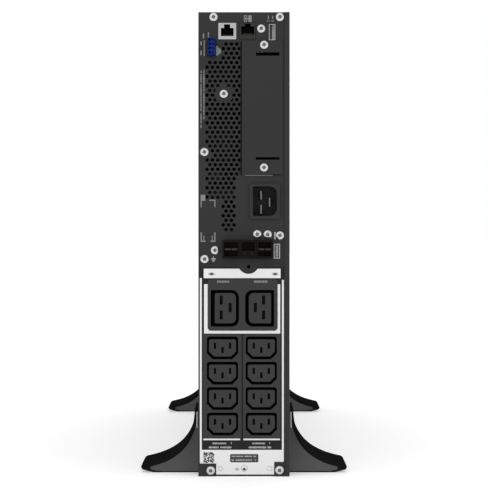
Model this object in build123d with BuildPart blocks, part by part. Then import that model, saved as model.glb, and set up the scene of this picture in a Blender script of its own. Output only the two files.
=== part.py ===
from build123d import *
import os

# A 2U rack UPS standing upright on stabiliser feet, in millimetres.
# X runs across the 85 mm body, Y from the connector panel (-Y) to the bezel (+Y), Z up.
# The origin is on the floor, under the middle of the whole object.

os.makedirs("parts", exist_ok=True)

# ---- driving dimensions ----
body_width = 85.0
body_height = 432.0
sheet = 1.2
rear_face = -306.0
front_face = 318.0
front_plate = 292.0
half = body_width / 2
inner = half - sheet
rear_inside = rear_face + sheet
roof = body_height - sheet
seam_height = 194.4
seam_gap = 0.3

pan_head_radius = 4.1
pan_head_height = 2.4
screw_radius = 1.9
screw_hole_radius = 2.05
screw_length = 9.0

foot_depth = 56.0
foot_height = 60.4
foot_starts = {"rear": rear_face + 24.0, "front": 235.0}
foot_sides = {"left": -1, "right": 1}
foot_screw_height = 44.0
foot_screw_steps = (14.0, 42.0)
foot_seat = 45.1

rack_hole_radius = 2.1
rack_spacing_x = 44.0
rack_spacing_y = 30.0
rack_centre_y = 210.0

tab_centre = (4.2, 198.3)
tab_radius = 9.2

slot_cover_x = (-2.0, 36.5)
slot_cover_z = (280.0, 405.5)
bay_x = (1.0, 33.5)
bay_z = (291.5, 397.5)

c13_rows = (121.6, 98.1, 74.5, 50.8)
c13_columns = {"left": -20.0, "right": 16.1}
c13_banks = {"left": (-38.2, -2.3), "right": (-0.9, 34.0)}
c13_bank_z = (35.6, 132.4)
c19_module_x = (-33.7, 31.2)
c19_module_z = (135.6, 183.5)
outlet_proud = 1.0
outlet_back = rear_face + 22.0
outlet_groove = 15.0
outlet_slot_depth = 30.0
module_lip = 1.4
contact_depth = 9.0
contact_back = rear_face + 30.0

display_height = 384.0
display_radius = 36.0
display_hub_radius = 12.0
running_clearance = 0.08

fan_size = 80.0
fan_depth = 25.0
fan_rear = 215.0
fan_heights = {"lower": 272.0, "upper": 356.0}
fan_pin_radius = 2.5

block_x = (-35.0, 35.0)
block_length = 90.0
block_step = 91.4
block_height = 101.0
first_block = -93.0
block_rows = (7.4, 115.4)
terminal_height = 6.0
tray_x = (-37.4, 36.4)
tray_y = (-95.4, 274.8)
tray_z = (6.0, 224.4)
divider_height = 227.4
board_x = (-34.0, -32.4)

# centres (x, z) of the pan-head screws on the connector face
panel_screws = [
    (-28.4, 427.3),
    (33.4, 427.3),
    (16.0, 416.6),
    (-18.8, 355.9),
    (-36.8, 301.8),
    (12.3, 225.3),
    (22.0, 225.1),
    (33.4, 224.2),
    (-27.0, 210.4),
    (-36.6, 202.2),
]
pad_screw = panel_screws[3]
vent_edge_screw = panel_screws[4]
slot_screws = [(18.7, 401.4), (18.6, 287.3)]
corner_screws = [(-31.0, 5.6), (33.0, 6.0)]


def upright(y):
    # faces the rear: local x is X, local y is Z, and the normal is -Y
    return Plane(origin=(0, y, 0), x_dir=(1, 0, 0), z_dir=(0, -1, 0))


def sideways(x):
    # local x is Y, local y is Z, and the normal is +X
    return Plane.YZ.offset(x)


def rect(x, z, radius=0.0, mode=Mode.ADD):
    with Locations(((x[0] + x[1]) / 2, (z[0] + z[1]) / 2)):
        if radius:
            RectangleRounded(x[1] - x[0], z[1] - z[0], radius, mode=mode)
        else:
            Rectangle(x[1] - x[0], z[1] - z[0], mode=mode)


def slab(x, y, z, mode=Mode.ADD):
    with Locations(((x[0] + x[1]) / 2, (y[0] + y[1]) / 2, (z[0] + z[1]) / 2)):
        Box(x[1] - x[0], y[1] - y[0], z[1] - z[0], mode=mode)


def grown(limits, margin):
    return (limits[0] - margin, limits[1] + margin)


def save(builder, name):
    builder.part.label = name
    export_step(builder.part, f"parts/{name}.step")


def foot_hole_points():
    return [
        (start + step, foot_screw_height)
        for start in foot_starts.values()
        for step in foot_screw_steps
    ]


# ---- chassis walls ----
with BuildPart() as base_wall:
    with BuildSketch(sideways(-half)):
        rect((rear_face, front_plate), (sheet, roof))
        with Locations(*foot_hole_points()):
            Circle(screw_hole_radius, mode=Mode.SUBTRACT)
    extrude(amount=sheet)
save(base_wall, "base_wall")

top_lip_bottom = 423.5
with BuildPart() as top_wall:
    with BuildSketch(Plane.XY.offset(roof)):
        rect((-half, inner), (rear_face, front_plate))
        with Locations((0, rack_centre_y)):
            with GridLocations(rack_spacing_x, rack_spacing_y, 2, 2):
                Circle(rack_hole_radius, mode=Mode.SUBTRACT)
    extrude(amount=sheet)
    with BuildSketch(upright(rear_inside)):
        rect((-inner, inner), (top_lip_bottom, roof))
        with Locations(panel_screws[0], panel_screws[1]):
            Circle(screw_hole_radius, mode=Mode.SUBTRACT)
    extrude(amount=-sheet)
save(top_wall, "top_wall")

guide_height = tray_z[0] - 0.4
runner_y = (-96.0, 288.0)
runner_offset = 8.0
runner_width = 8.0
corner_tabs = [((-half, -26.3), (0, 11.5)), ((28.5, 37.5), (0, 13.0))]
with BuildPart() as bottom_wall:
    with BuildSketch(Plane.XY):
        rect((-half, inner), (rear_face, front_plate))
        with Locations((0, rack_centre_y)):
            with GridLocations(rack_spacing_x, rack_spacing_y, 2, 2):
                Circle(rack_hole_radius, mode=Mode.SUBTRACT)
    extrude(amount=sheet)
    # two raised runners that carry the battery cartridge
    for side in (-1, 1):
        middle = side * runner_offset
        slab((middle - runner_width / 2, middle + runner_width / 2), runner_y, (sheet, guide_height))
    # corner tabs folded up over the outlet panel
    with BuildSketch(upright(rear_face)):
        for x_limits, z_limits in corner_tabs:
            rect(x_limits, z_limits)
        with Locations(*corner_screws):
            Circle(screw_hole_radius, mode=Mode.SUBTRACT)
    extrude(amount=sheet)
save(bottom_wall, "bottom_wall")

lip_start = 37.7
with BuildPart() as side_cover:
    with BuildSketch(sideways(inner)):
        rect((rear_face - sheet, front_plate), (0, body_height))
        with Locations(*foot_hole_points()):
            Circle(screw_hole_radius, mode=Mode.SUBTRACT)
    extrude(amount=sheet)
    # folded lip over the connector panel
    slab((lip_start, half), (rear_face - sheet, rear_face), (0, body_height))
    lip_edge = side_cover.edges().filter_by(Axis.Z).group_by(Axis.Y)[0].sort_by(Axis.X)[-1]
    fillet(lip_edge, sheet * 0.9)
save(side_cover, "side_cover")


# ---- connector panel ----
vent_pitch = 5.02
vent_row = 4.32
vent_hole_radius = 1.72
vent_top = 402.4
vent_start = {0: -31.8, 1: -34.4}
vent_counts = {0: 6, 1: 7}
# row bands of the vent field: first row, last row, lowest x, highest x
vent_bands = [(0, 3, -20.5, 0), (4, 28, -40, 0), (29, 33, -40, -8.9), (34, 40, -20.5, -8.4)]


def near(point, centre, reach):
    return (point[0] - centre[0]) ** 2 + (point[1] - centre[1]) ** 2 < reach**2


def vent_points():
    points = []
    for first, last, low, high in vent_bands:
        for row in range(first, last + 1):
            phase = row % 2
            for step in range(vent_counts[phase]):
                point = (vent_start[phase] + step * vent_pitch, vent_top - row * vent_row)
                blocked = near(point, pad_screw, 8.6) or near(point, vent_edge_screw, 6.6)
                if low <= point[0] <= high and not blocked:
                    points.append(point)
    return points


network_x, network_z = (-23.9, -7.3), (406.7, 421.9)
serial_x, serial_z = (-4.2, 10.7), (407.0, 422.4)
usb_x, usb_z = (23.2, 29.1), (405.9, 420.7)
epo_x, epo_z = (-34.5, -26.1), (390.2, 407.9)
inlet_x, inlet_z = (5.2, 33.7), (239.5, 272.5)
inlet_body_x, inlet_body_z = (6.6, 32.4), (240.6, 271.4)
port_x, port_z = (-19.7, 26.7), (203.0, 219.6)
port_openings = [network_x, serial_x, usb_x, epo_x, inlet_body_x, port_x]
port_heights = [network_z, serial_z, usb_z, epo_z, inlet_body_z, port_z]
fit_gap = 0.2

tab_hole = (4.3, 195.0)
tab_hole_radius = 1.6
pressed_height = 0.5
bead_z = (195.4, 197.2)
bead_spans = [(-40.4, -6.5), (14.9, 36.9)]
vent_pad_x, vent_pad_z = (-26.6, -10.9), (349.5, 362.4)
port_ledge_z = (199.6, 202.6)

with BuildPart() as rear_panel:
    with BuildSketch(upright(rear_inside)):
        rect((-inner, inner), (seam_height, roof))
        with Locations(tab_centre):
            Circle(tab_radius)
        with Locations(tab_hole):
            Circle(tab_hole_radius, mode=Mode.SUBTRACT)
        for x_limits, z_limits in zip(port_openings, port_heights):
            rect(grown(x_limits, fit_gap), grown(z_limits, fit_gap), mode=Mode.SUBTRACT)
        rect(bay_x, bay_z, mode=Mode.SUBTRACT)
        with Locations(*panel_screws, *slot_screws):
            Circle(screw_hole_radius, mode=Mode.SUBTRACT)
        with Locations(*vent_points()):
            Circle(vent_hole_radius, mode=Mode.SUBTRACT)
    extrude(amount=sheet)
    # stiffening bead above the seam, pressed pad round the vent screw, ledge under the battery port
    with BuildSketch(upright(rear_face)):
        for span in bead_spans:
            rect(span, bead_z)
        rect(vent_pad_x, vent_pad_z, radius=3.0)
        rect(port_x, port_ledge_z)
        with Locations(pad_screw):
            Circle(screw_hole_radius, mode=Mode.SUBTRACT)
    extrude(amount=pressed_height)
save(rear_panel, "rear_panel")

module_ledge = 1.2
tab_clearance = 0.3
with BuildPart() as outlet_panel:
    with BuildSketch(upright(rear_inside)):
        rect((-inner, inner), (sheet, seam_height - seam_gap))
        with Locations(tab_centre):
            Circle(tab_radius + tab_clearance, mode=Mode.SUBTRACT)
        rect(grown(c19_module_x, -module_ledge), grown(c19_module_z, -module_ledge), mode=Mode.SUBTRACT)
        for limits in c13_banks.values():
            rect(grown(limits, -module_ledge), grown(c13_bank_z, -module_ledge), mode=Mode.SUBTRACT)
        with Locations(*corner_screws):
            Circle(screw_hole_radius, mode=Mode.SUBTRACT)
    extrude(amount=sheet)
save(outlet_panel, "outlet_panel")

label_thickness = 0.3
# the film's main sheet, and its steps down past the corner tabs
label_areas = [((-41.2, 37.3), (13.3, 193.3)), ((-41.2, 28.2), (11.8, 13.3)), ((-26.0, 28.2), (1.6, 11.8))]
with BuildPart() as outlet_label:
    with BuildSketch(upright(rear_face)):
        for x_limits, z_limits in label_areas:
            rect(x_limits, z_limits)
        with Locations(tab_centre):
            Circle(tab_radius + 2 * tab_clearance, mode=Mode.SUBTRACT)
        rect(grown(c19_module_x, fit_gap), grown(c19_module_z, fit_gap), mode=Mode.SUBTRACT)
        for limits in c13_banks.values():
            rect(grown(limits, fit_gap), grown(c13_bank_z, fit_gap), mode=Mode.SUBTRACT)
    extrude(amount=label_thickness)
save(outlet_label, "outlet_label")

cover_slots = [((11.2, 33.0), (391.4, 394.6)), ((10.9, 33.0), (294.6, 297.0))]
cover_edge = 0.35
with BuildPart() as slot_cover:
    with BuildSketch(upright(rear_face)):
        rect(slot_cover_x, slot_cover_z, radius=0.8)
        for x_limits, z_limits in cover_slots:
            rect(x_limits, z_limits, radius=0.5, mode=Mode.SUBTRACT)
        with Locations(*slot_screws):
            Circle(screw_hole_radius, mode=Mode.SUBTRACT)
    extrude(amount=sheet)
    chamfer(slot_cover.faces().sort_by(Axis.Y)[0].outer_wire().edges(), cover_edge)
save(slot_cover, "slot_cover")

cage_x = (0.0, 35.4)
cage_y = (rear_inside, -150.0)
cage_z = (290.4, 398.6)
cage_inside_z = grown(cage_z, -sheet)
guide_rise = 2.5
guide_width = 1.6
guide_places = (12.0, 16.0)
with BuildPart() as card_cage:
    # a channel open towards +X, and at both ends
    slab(cage_x, cage_y, cage_z)
    slab((cage_x[0] + sheet, cage_x[1]), cage_y, cage_inside_z, mode=Mode.SUBTRACT)
    # card guides along both sides
    for low in (cage_inside_z[0], cage_inside_z[1] - guide_rise):
        for guide_x in guide_places:
            slab((guide_x, guide_x + guide_width), grown(cage_y, -4.0), (low, low + guide_rise))
save(card_cage, "card_cage")


# ---- sockets on the connector panel ----
jack_back = rear_face + 18.0
jack_cavity_depth = 13.0
jack_contact_pitch = 1.13
jack_contact_width = 0.5
jack_contact_rise = 1.4
# each modular jack: outer limits, how far it stands out, its cavity, the latch notch, its first contact
modular_jacks = {
    "network_jack": {
        "outer": (network_x, network_z),
        "proud": 0.8,
        "cavity": ((-21.5, -9.7), (409.6, 417.2)),
        "latch": ((-18.6, -12.9), (417.2, 420.6)),
        "first_contact": -19.6,
    },
    "serial_jack": {
        "outer": (serial_x, serial_z),
        "proud": 0.6,
        "cavity": ((-2.6, 9.5), (410.9, 418.6)),
        "latch": ((0.7, 6.2), (418.6, 421.3)),
        "first_contact": -1.0,
    },
}


def modular_jack(layout):
    face = rear_face - layout["proud"]
    cavity_back = face + jack_cavity_depth
    with BuildPart() as jack:
        with BuildSketch(upright(jack_back)):
            rect(*layout["outer"])
        extrude(amount=jack_back - face)
        with BuildSketch(upright(face)):
            rect(*layout["cavity"])
            rect(*layout["latch"])
        extrude(amount=-jack_cavity_depth, mode=Mode.SUBTRACT)
        # sprung contacts at the bottom of the cavity
        low = layout["cavity"][1][0]
        contact_y = (rear_face + 2.0, cavity_back)
        for index in range(8):
            start = layout["first_contact"] + index * jack_contact_pitch
            slab((start, start + jack_contact_width), contact_y, (low, low + jack_contact_rise))
    return jack


for name, layout in modular_jacks.items():
    save(modular_jack(layout), name)

usb_wall = 0.5
usb_front, usb_back = rear_face - 0.8, rear_face + 14.0
usb_cavity_back = usb_back - 2.0
usb_tongue_x, usb_tongue_z = (24.3, 26.1), (407.6, 419.0)
with BuildPart() as usb_port:
    slab(usb_x, (usb_front, usb_back), usb_z)
    slab(grown(usb_x, -usb_wall), (usb_front, usb_cavity_back), grown(usb_z, -usb_wall), mode=Mode.SUBTRACT)
    # contact tongue inside the shell
    slab(usb_tongue_x, (rear_face + 1.0, usb_cavity_back), usb_tongue_z)
save(usb_port, "usb_port")

epo_wall = 0.8
epo_plug_gap = 0.3
epo_front = rear_face - 0.6
epo_cavity_back = rear_face + 12.0
epo_cavity_x = grown(epo_x, -epo_wall)
epo_cavity_z = grown(epo_z, -epo_wall)
with BuildPart() as epo_header:
    slab(epo_x, (epo_front, rear_face + 16.0), epo_z)
    slab(epo_cavity_x, (epo_front, epo_cavity_back), epo_cavity_z, mode=Mode.SUBTRACT)
save(epo_header, "epo_header")

epo_positions = 4
epo_pitch = 3.9
epo_first = (epo_z[0] + epo_z[1]) / 2 - epo_pitch * (epo_positions - 1) / 2
# one clamp well and one wire entry at each position: x limits, floor, half height
epo_wells = [((-32.8, -30.6), rear_face - 2.0, 1.2), ((-29.4, -28.0), rear_face - 8.0, 1.1)]
with BuildPart() as epo_plug:
    plug_y = (-front_face, epo_cavity_back - 0.4)
    slab(grown(epo_cavity_x, -epo_plug_gap), plug_y, grown(epo_cavity_z, -epo_plug_gap))
    for index in range(epo_positions):
        height = epo_first + index * epo_pitch
        for well_x, floor, reach in epo_wells:
            slab(well_x, (-front_face, floor), (height - reach, height + reach), mode=Mode.SUBTRACT)
save(epo_plug, "epo_plug")


inlet_cavity_x, inlet_cavity_z = (8.2, 30.6), (242.2, 269.8)


def inlet_outline():
    # the earth side has large corner radii, the line side small ones
    rect(inlet_cavity_x, inlet_cavity_z)
    fillet(vertices().group_by(Axis.X)[-1], 7.0)
    fillet(vertices().group_by(Axis.X)[0], 1.4)


pin_width = 2.0
pin_height = 8.0
inlet_pin_centres = [(15.9, 261.6), (15.9, 248.6), (23.9, 255.1)]
inlet_proud = 2.0
inlet_depth = 22.0
inlet_back = rear_face + 24.0
inlet_floor = rear_face + inlet_depth - inlet_proud
with BuildPart() as ac_inlet:
    with BuildSketch(upright(rear_face)):
        rect(inlet_x, inlet_z, radius=2.0)
    extrude(amount=inlet_proud)
    with BuildSketch(upright(inlet_back)):
        rect(inlet_body_x, inlet_body_z, radius=1.5)
    extrude(amount=inlet_back - rear_face)
    with BuildSketch(upright(rear_face - inlet_proud)):
        inlet_outline()
    extrude(amount=-inlet_depth, mode=Mode.SUBTRACT)
    with BuildSketch(upright(inlet_back)):
        with Locations(*inlet_pin_centres):
            Rectangle(pin_width, pin_height)
    extrude(amount=inlet_back - inlet_floor + 2.0, mode=Mode.SUBTRACT)
save(ac_inlet, "ac_inlet")

pin_tip = rear_face + 2.5
pin_back = inlet_back + 7.0
with BuildPart() as inlet_pins:
    with BuildSketch(upright(pin_back)):
        with Locations(*inlet_pin_centres):
            Rectangle(pin_width, pin_height)
    extrude(amount=pin_back - pin_tip)
    tips = inlet_pins.faces().sort_by(Axis.Y)[0:3]
    chamfer(tips.edges().filter_by(Axis.Z), 0.6)
save(inlet_pins, "inlet_pins")

port_front = rear_face - 8.0
port_rim = 2.0
port_wall = 1.3
port_floor = rear_face + 6.0
port_cavity_z = (204.6, 218.0)
port_sections = [(-19.7, -4.1), (-3.5, 11.2), (11.8, 26.7)]
signal_step_top = 210.0
signal_socket_height = 207.4
signal_socket_offset = 3.4
tongue_z = (210.5, 212.1)
tongue_offset = 3.2
tongue_width = 5.2
with BuildPart() as battery_port:
    slab(port_x, (port_front + port_rim, rear_face + 22.0), port_z)
    for index, limits in enumerate(port_sections):
        slab(limits, (port_front, port_front + port_rim), port_z)
        cavity = grown(limits, -port_wall)
        slab(cavity, (port_front, port_floor), port_cavity_z, mode=Mode.SUBTRACT)
        middle = (limits[0] + limits[1]) / 2
        if index == 1:
            # signal section: a stepped block with two sockets
            step_front = port_front + 3.0
            slab(cavity, (step_front, port_floor), (port_cavity_z[0], signal_step_top))
            with BuildSketch(upright(step_front)):
                with Locations((middle, signal_socket_height)):
                    with GridLocations(2 * signal_socket_offset, 1.0, 2, 1):
                        Circle(1.2)
            extrude(amount=-8.0, mode=Mode.SUBTRACT)
        else:
            # power section: two flat tongues side by side
            for side in (-1, 1):
                centre = middle + side * tongue_offset
                tongue = (centre - tongue_width / 2, centre + tongue_width / 2)
                slab(tongue, (port_front + 2.5, port_floor), tongue_z)
save(battery_port, "battery_port")


# ---- power outlets ----
c13_outer = (29.1, 21.2)
c13_inner = (25.1, 15.9)
c13_slot = (2.2, 5.6)
c13_slot_offset = 7.0
c13_earth_drop = 4.0
c13_body_drop = 2.1


def c13_outline(centre, size, chamfer_size, corner_radius):
    # a rounded rectangle whose two lower corners are cut off at 45 degrees
    x_low, x_high = centre[0] - size[0] / 2, centre[0] + size[0] / 2
    z_low, z_high = centre[1] - size[1] / 2, centre[1] + size[1] / 2
    with BuildSketch(Plane.XY, mode=Mode.PRIVATE) as shape:
        with BuildLine():
            Polyline(
                (x_low, z_low + chamfer_size),
                (x_low + chamfer_size, z_low),
                (x_high - chamfer_size, z_low),
                (x_high, z_low + chamfer_size),
                (x_high, z_high),
                (x_low, z_high),
                close=True,
            )
        make_face()
        fillet(shape.vertices().group_by(Axis.Y)[-1], corner_radius)
    return shape.sketch


def c13_slots(centre, margin=0.0):
    # three slots: line and neutral beside each other, earth between and lower
    width, height = c13_slot
    for offset, drop in ((-c13_slot_offset, 0), (c13_slot_offset, 0), (0, -c13_earth_drop)):
        with Locations((centre[0] + offset, centre[1] + drop)):
            Rectangle(width - 2 * margin, height - 2 * margin)


def c13_bank(side):
    column = c13_columns[side]
    with BuildPart() as bank:
        with BuildSketch(upright(rear_face)):
            rect(c13_banks[side], c13_bank_z, radius=1.0)
        extrude(amount=outlet_proud)
        with BuildSketch(upright(outlet_back)):
            rect(grown(c13_banks[side], -module_lip), grown(c13_bank_z, -module_lip))
        extrude(amount=outlet_back - rear_face)
        for row in c13_rows:
            with BuildSketch(upright(rear_face - outlet_proud)):
                centre = (column, row - c13_body_drop)
                add(c13_outline(centre, c13_outer, 5.5, 2.5))
                add(c13_outline(centre, c13_inner, 4.6, 1.8), mode=Mode.SUBTRACT)
            extrude(amount=-outlet_groove, mode=Mode.SUBTRACT)
            with BuildSketch(upright(rear_face - outlet_proud)):
                c13_slots((column, row))
            extrude(amount=-outlet_slot_depth, mode=Mode.SUBTRACT)
    return bank


for side in c13_banks:
    save(c13_bank(side), f"c13_outlets_{side}")

# C19: groove limits, block limits, line and earth slot x, and which side carries the round corners
c19_outlets_layout = [
    {"groove": (-31.0, -4.7), "block": (-27.2, -7.5), "line": -21.2, "earth": -12.9, "round": 1},
    {"groove": (1.1, 28.0), "block": (4.5, 25.2), "line": 18.2, "earth": 10.5, "round": -1},
]
c19_groove_z = (139.3, 173.4)
c19_block_z = (142.4, 170.6)
c19_slot = (2.9, 8.4)
c19_line_heights = (164.0, 150.2)
c19_earth_height = 157.1


def c19_outline(x, z, round_side, radius):
    with BuildSketch(Plane.XY, mode=Mode.PRIVATE) as shape:
        rect(x, z)
        round_corners = shape.vertices().group_by(Axis.X)[-1 if round_side > 0 else 0]
        fillet(round_corners, radius)
        square_corners = shape.vertices().group_by(Axis.X)[0 if round_side > 0 else -1]
        fillet(square_corners, 1.2)
    return shape.sketch


def c19_slots(layout, margin=0.0):
    size = (c19_slot[0] - 2 * margin, c19_slot[1] - 2 * margin)
    for height in c19_line_heights:
        with Locations((layout["line"], height)):
            Rectangle(*size)
    with Locations((layout["earth"], c19_earth_height)):
        Rectangle(*size)


with BuildPart() as c19_outlets:
    with BuildSketch(upright(rear_face)):
        rect(c19_module_x, c19_module_z, radius=3.0)
    extrude(amount=outlet_proud)
    with BuildSketch(upright(outlet_back)):
        rect(grown(c19_module_x, -module_lip), grown(c19_module_z, -module_lip))
    extrude(amount=outlet_back - rear_face)
    for layout in c19_outlets_layout:
        with BuildSketch(upright(rear_face - outlet_proud)):
            add(c19_outline(layout["groove"], c19_groove_z, layout["round"], 7.0))
            add(c19_outline(layout["block"], c19_block_z, layout["round"], 4.5), mode=Mode.SUBTRACT)
        extrude(amount=-outlet_groove, mode=Mode.SUBTRACT)
        with BuildSketch(upright(rear_face - outlet_proud)):
            c19_slots(layout)
        extrude(amount=-outlet_slot_depth, mode=Mode.SUBTRACT)
save(c19_outlets, "c19_outlets")

contact_margin = 0.1
with BuildPart() as outlet_contacts:
    with BuildSketch(upright(contact_back)):
        for side in c13_banks:
            for row in c13_rows:
                c13_slots((c13_columns[side], row), contact_margin)
        for layout in c19_outlets_layout:
            c19_slots(layout, contact_margin)
    extrude(amount=contact_back - rear_face - contact_depth)
save(outlet_contacts, "outlet_contacts")


# ---- screws on the connector face ----
cross_length = 4.8
cross_width = 1.0
cross_depth = 1.4


def pan_head_screws(points, seat):
    # domed heads with a cross recess on plain shanks
    with BuildPart() as screws:
        with BuildSketch(upright(seat)):
            with Locations(*points):
                Circle(pan_head_radius)
        extrude(amount=pan_head_height)
        fillet(screws.faces().filter_by(Axis.Y).group_by(Axis.Y)[0].edges(), pan_head_height - 1.0)
        with BuildSketch(upright(seat)):
            with Locations(*points):
                Circle(screw_radius)
        extrude(amount=-screw_length)
        with BuildSketch(upright(seat - pan_head_height)):
            with Locations(*points):
                Rectangle(cross_length, cross_width)
                Rectangle(cross_width, cross_length)
        extrude(amount=-cross_depth, mode=Mode.SUBTRACT)
    return screws


flat_screws = [point for point in panel_screws if point != pad_screw]
screw_groups = [
    pan_head_screws(flat_screws, rear_face),
    pan_head_screws([pad_screw], rear_face - pressed_height),
    pan_head_screws(slot_screws + corner_screws, rear_face - sheet),
]
with BuildPart() as rear_screws:
    for group in screw_groups:
        add(group.part)
save(rear_screws, "rear_screws")


# ---- stabiliser feet ----
foot_top = 46.7
foot_tip = 94.0
tip_z = (2.2, 8.5)
seat_clearance = 0.4
foot_screw_length = 7.0


def stabiliser_foot(side, start):
    def at(x, z):
        return (side * x, z)

    screw_points = [(start + step, foot_screw_height) for step in foot_screw_steps]

    with BuildPart() as wing:
        with BuildSketch(upright(start)):
            with BuildLine():
                Line(at(half, 0), at(half, foot_height))
                Line(at(half, foot_height), at(foot_top, foot_height))
                Bezier(at(foot_top, foot_height), at(47.0, 28.0), at(66.0, 14.0), at(foot_tip, tip_z[1]))
                Bezier(at(foot_tip, tip_z[1]), at(98.9, 7.4), at(98.4, 2.6), at(foot_tip, tip_z[0]))
                Line(at(foot_tip, tip_z[0]), at(86.0, 0))
                Line(at(86.0, 0), at(half, 0))
            make_face()
        extrude(amount=-foot_depth)
        # flat seats for the screw heads in the thin upper part
        with BuildSketch(sideways(side * foot_seat)):
            with Locations(*screw_points):
                Circle(pan_head_radius + seat_clearance)
        extrude(amount=side * 12.0, mode=Mode.SUBTRACT)
        with BuildSketch(sideways(side * foot_seat)):
            with Locations(*screw_points):
                Circle(screw_hole_radius)
        extrude(amount=-side * 6.0, mode=Mode.SUBTRACT)
    return wing


for end, start in foot_starts.items():
    for name, side in foot_sides.items():
        save(stabiliser_foot(side, start), f"{end}_{name}_foot")

with BuildPart() as foot_screws:
    for side in foot_sides.values():
        with BuildSketch(sideways(side * foot_seat)):
            with Locations(*foot_hole_points()):
                Circle(pan_head_radius)
        extrude(amount=side * pan_head_height)
        with BuildSketch(sideways(side * foot_seat)):
            with Locations(*foot_hole_points()):
                Circle(screw_radius)
        extrude(amount=-side * foot_screw_length)
        with BuildSketch(sideways(side * (foot_seat + pan_head_height))):
            with Locations(*foot_hole_points()):
                Rectangle(cross_length, cross_width)
                Rectangle(cross_width, cross_length)
        extrude(amount=-side * cross_depth, mode=Mode.SUBTRACT)
save(foot_screws, "foot_screws")


# ---- inside: front plate, divider, boards ----
post_points = [(-37.0, 232.5), (37.0, 232.5), (-37.0, 425.5), (37.0, 425.5)]
post_radius = 2.5
thumbscrew_points = [(-26.0, 12.0), (26.0, 12.0)]
bay_mouth_x, bay_mouth_z = (-39.0, 39.0), (5.0, 226.0)
air_slot_pitch = 8.0
air_slot_height = 4.4
with BuildPart() as front_panel:
    with BuildSketch(upright(front_plate)):
        rect((-inner, inner), (sheet, roof))
        rect(bay_mouth_x, bay_mouth_z, mode=Mode.SUBTRACT)
        with Locations((0, display_height)):
            Circle(display_hub_radius + running_clearance, mode=Mode.SUBTRACT)
        with Locations(*post_points):
            Circle(post_radius + 0.4, mode=Mode.SUBTRACT)
        # air slots in front of the fans
        with Locations((0, 288.0)):
            with GridLocations(24.0, air_slot_pitch, 3, 12):
                SlotOverall(20.0, air_slot_height, mode=Mode.SUBTRACT)
        with Locations((-27.0, display_height), (27.0, display_height)):
            with GridLocations(1.0, air_slot_pitch, 1, 8):
                SlotOverall(16.0, air_slot_height, mode=Mode.SUBTRACT)
    extrude(amount=sheet)
save(front_panel, "front_panel")

divider_start = -98.0
divider_hem = 2.0
fan_rib_x = (-30.0, 30.0)
fan_rib_height = 10.0
divider_top = divider_height + sheet
with BuildPart() as bay_divider:
    slab((-inner, inner), (divider_start, front_plate - sheet), (divider_height, divider_top))
    hem_z = (divider_height - divider_hem, divider_height)
    slab((-inner, inner), (divider_start, divider_start + sheet), hem_z)
    # two low ribs that hold the lower fan frame
    for rib in (fan_rear - sheet, fan_rear + fan_depth):
        slab(fan_rib_x, (rib, rib + sheet), (divider_top, divider_height + fan_rib_height))
save(bay_divider, "bay_divider")

power_board_y = (-265.0, -112.0)
power_board_z = (12.0, 420.0)
control_board_y = (15.0, 190.0)
control_board_z = (234.0, 424.0)


def corners(y, z, inset):
    return [(low, high) for low in grown(y, -inset) for high in grown(z, -inset)]


standoff_points = corners(power_board_y, power_board_z, 7.0) + corners(control_board_y, control_board_z, 7.0)
with BuildPart() as board_standoffs:
    with BuildSketch(sideways(-inner)):
        with Locations(*standoff_points):
            RegularPolygon(3.4, 6)
    extrude(amount=inner + board_x[0])
save(board_standoffs, "board_standoffs")

relay_rows = (84.0, 162.0, 278.0, 405.0)
relay_pitch = 28.0
relay_size = (12.0, 20.0, 9.0)
with BuildPart() as power_board:
    slab(board_x, power_board_y, power_board_z)
    # low parts soldered between the tall ones: relays, sockets and fuses
    for height in relay_rows:
        for index in range(5):
            low = power_board_y[0] + 12.0 + index * relay_pitch
            relay_x = (board_x[1], board_x[1] + relay_size[0])
            slab(relay_x, (low, low + relay_size[1]), (height, height + relay_size[2]))
save(power_board, "power_board")

chip_size = 24.0
chip_pitch = (52.0, 42.0)
first_chip = (control_board_y[0] + 17.0, control_board_z[0] + 16.0)
with BuildPart() as control_board:
    slab(board_x, control_board_y, control_board_z)
    # three columns of square parts, each column taller than the last
    for row in range(4):
        for column in range(3):
            low_y = first_chip[0] + column * chip_pitch[0]
            low_z = first_chip[1] + row * chip_pitch[1]
            rise = 3.0 + 2.5 * column
            chip_x = (board_x[1], board_x[1] + rise)
            slab(chip_x, (low_y, low_y + chip_size), (low_z, low_z + chip_size))
save(control_board, "control_board")

sink_y = (-255.0, -122.0)
sink_starts = (20.0, 98.0)
fin_count = 9
fin_step = 6.6
fin_thickness = 1.8
fin_tip = 26.0
sink_base = 6.0
with BuildPart() as heat_sinks:
    for start in sink_starts:
        top = start + fin_step * (fin_count - 1) + fin_thickness
        slab((board_x[1], board_x[1] + sink_base), sink_y, (start, top))
        for index in range(fin_count):
            low = start + index * fin_step
            slab((board_x[1] + sink_base, fin_tip), sink_y, (low, low + fin_thickness))
save(heat_sinks, "heat_sinks")

board_middle = (power_board_y[0] + power_board_y[1]) / 2
capacitor_radius = 15.0
capacitor_length = 46.0
with BuildPart() as bus_capacitors:
    with BuildSketch(sideways(board_x[1])):
        with Locations((board_middle, 227.0)):
            with GridLocations(34.0, 35.0, 4, 3):
                Circle(capacitor_radius)
    extrude(amount=capacitor_length)
    fillet(bus_capacitors.faces().sort_by(Axis.X)[-1].edges(), 1.0)
save(bus_capacitors, "bus_capacitors")

toroid_radii = (26.0, 11.0)
toroid_thickness = 24.0
with BuildPart() as inductors:
    with BuildSketch(sideways(board_x[1])):
        with Locations((board_middle, 345.0)):
            with GridLocations(62.0, 62.0, 2, 2):
                Circle(toroid_radii[0])
                Circle(toroid_radii[1], mode=Mode.SUBTRACT)
    extrude(amount=toroid_thickness)
    fillet(inductors.edges().filter_by(GeomType.CIRCLE), 4.0)
save(inductors, "inductors")

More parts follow.
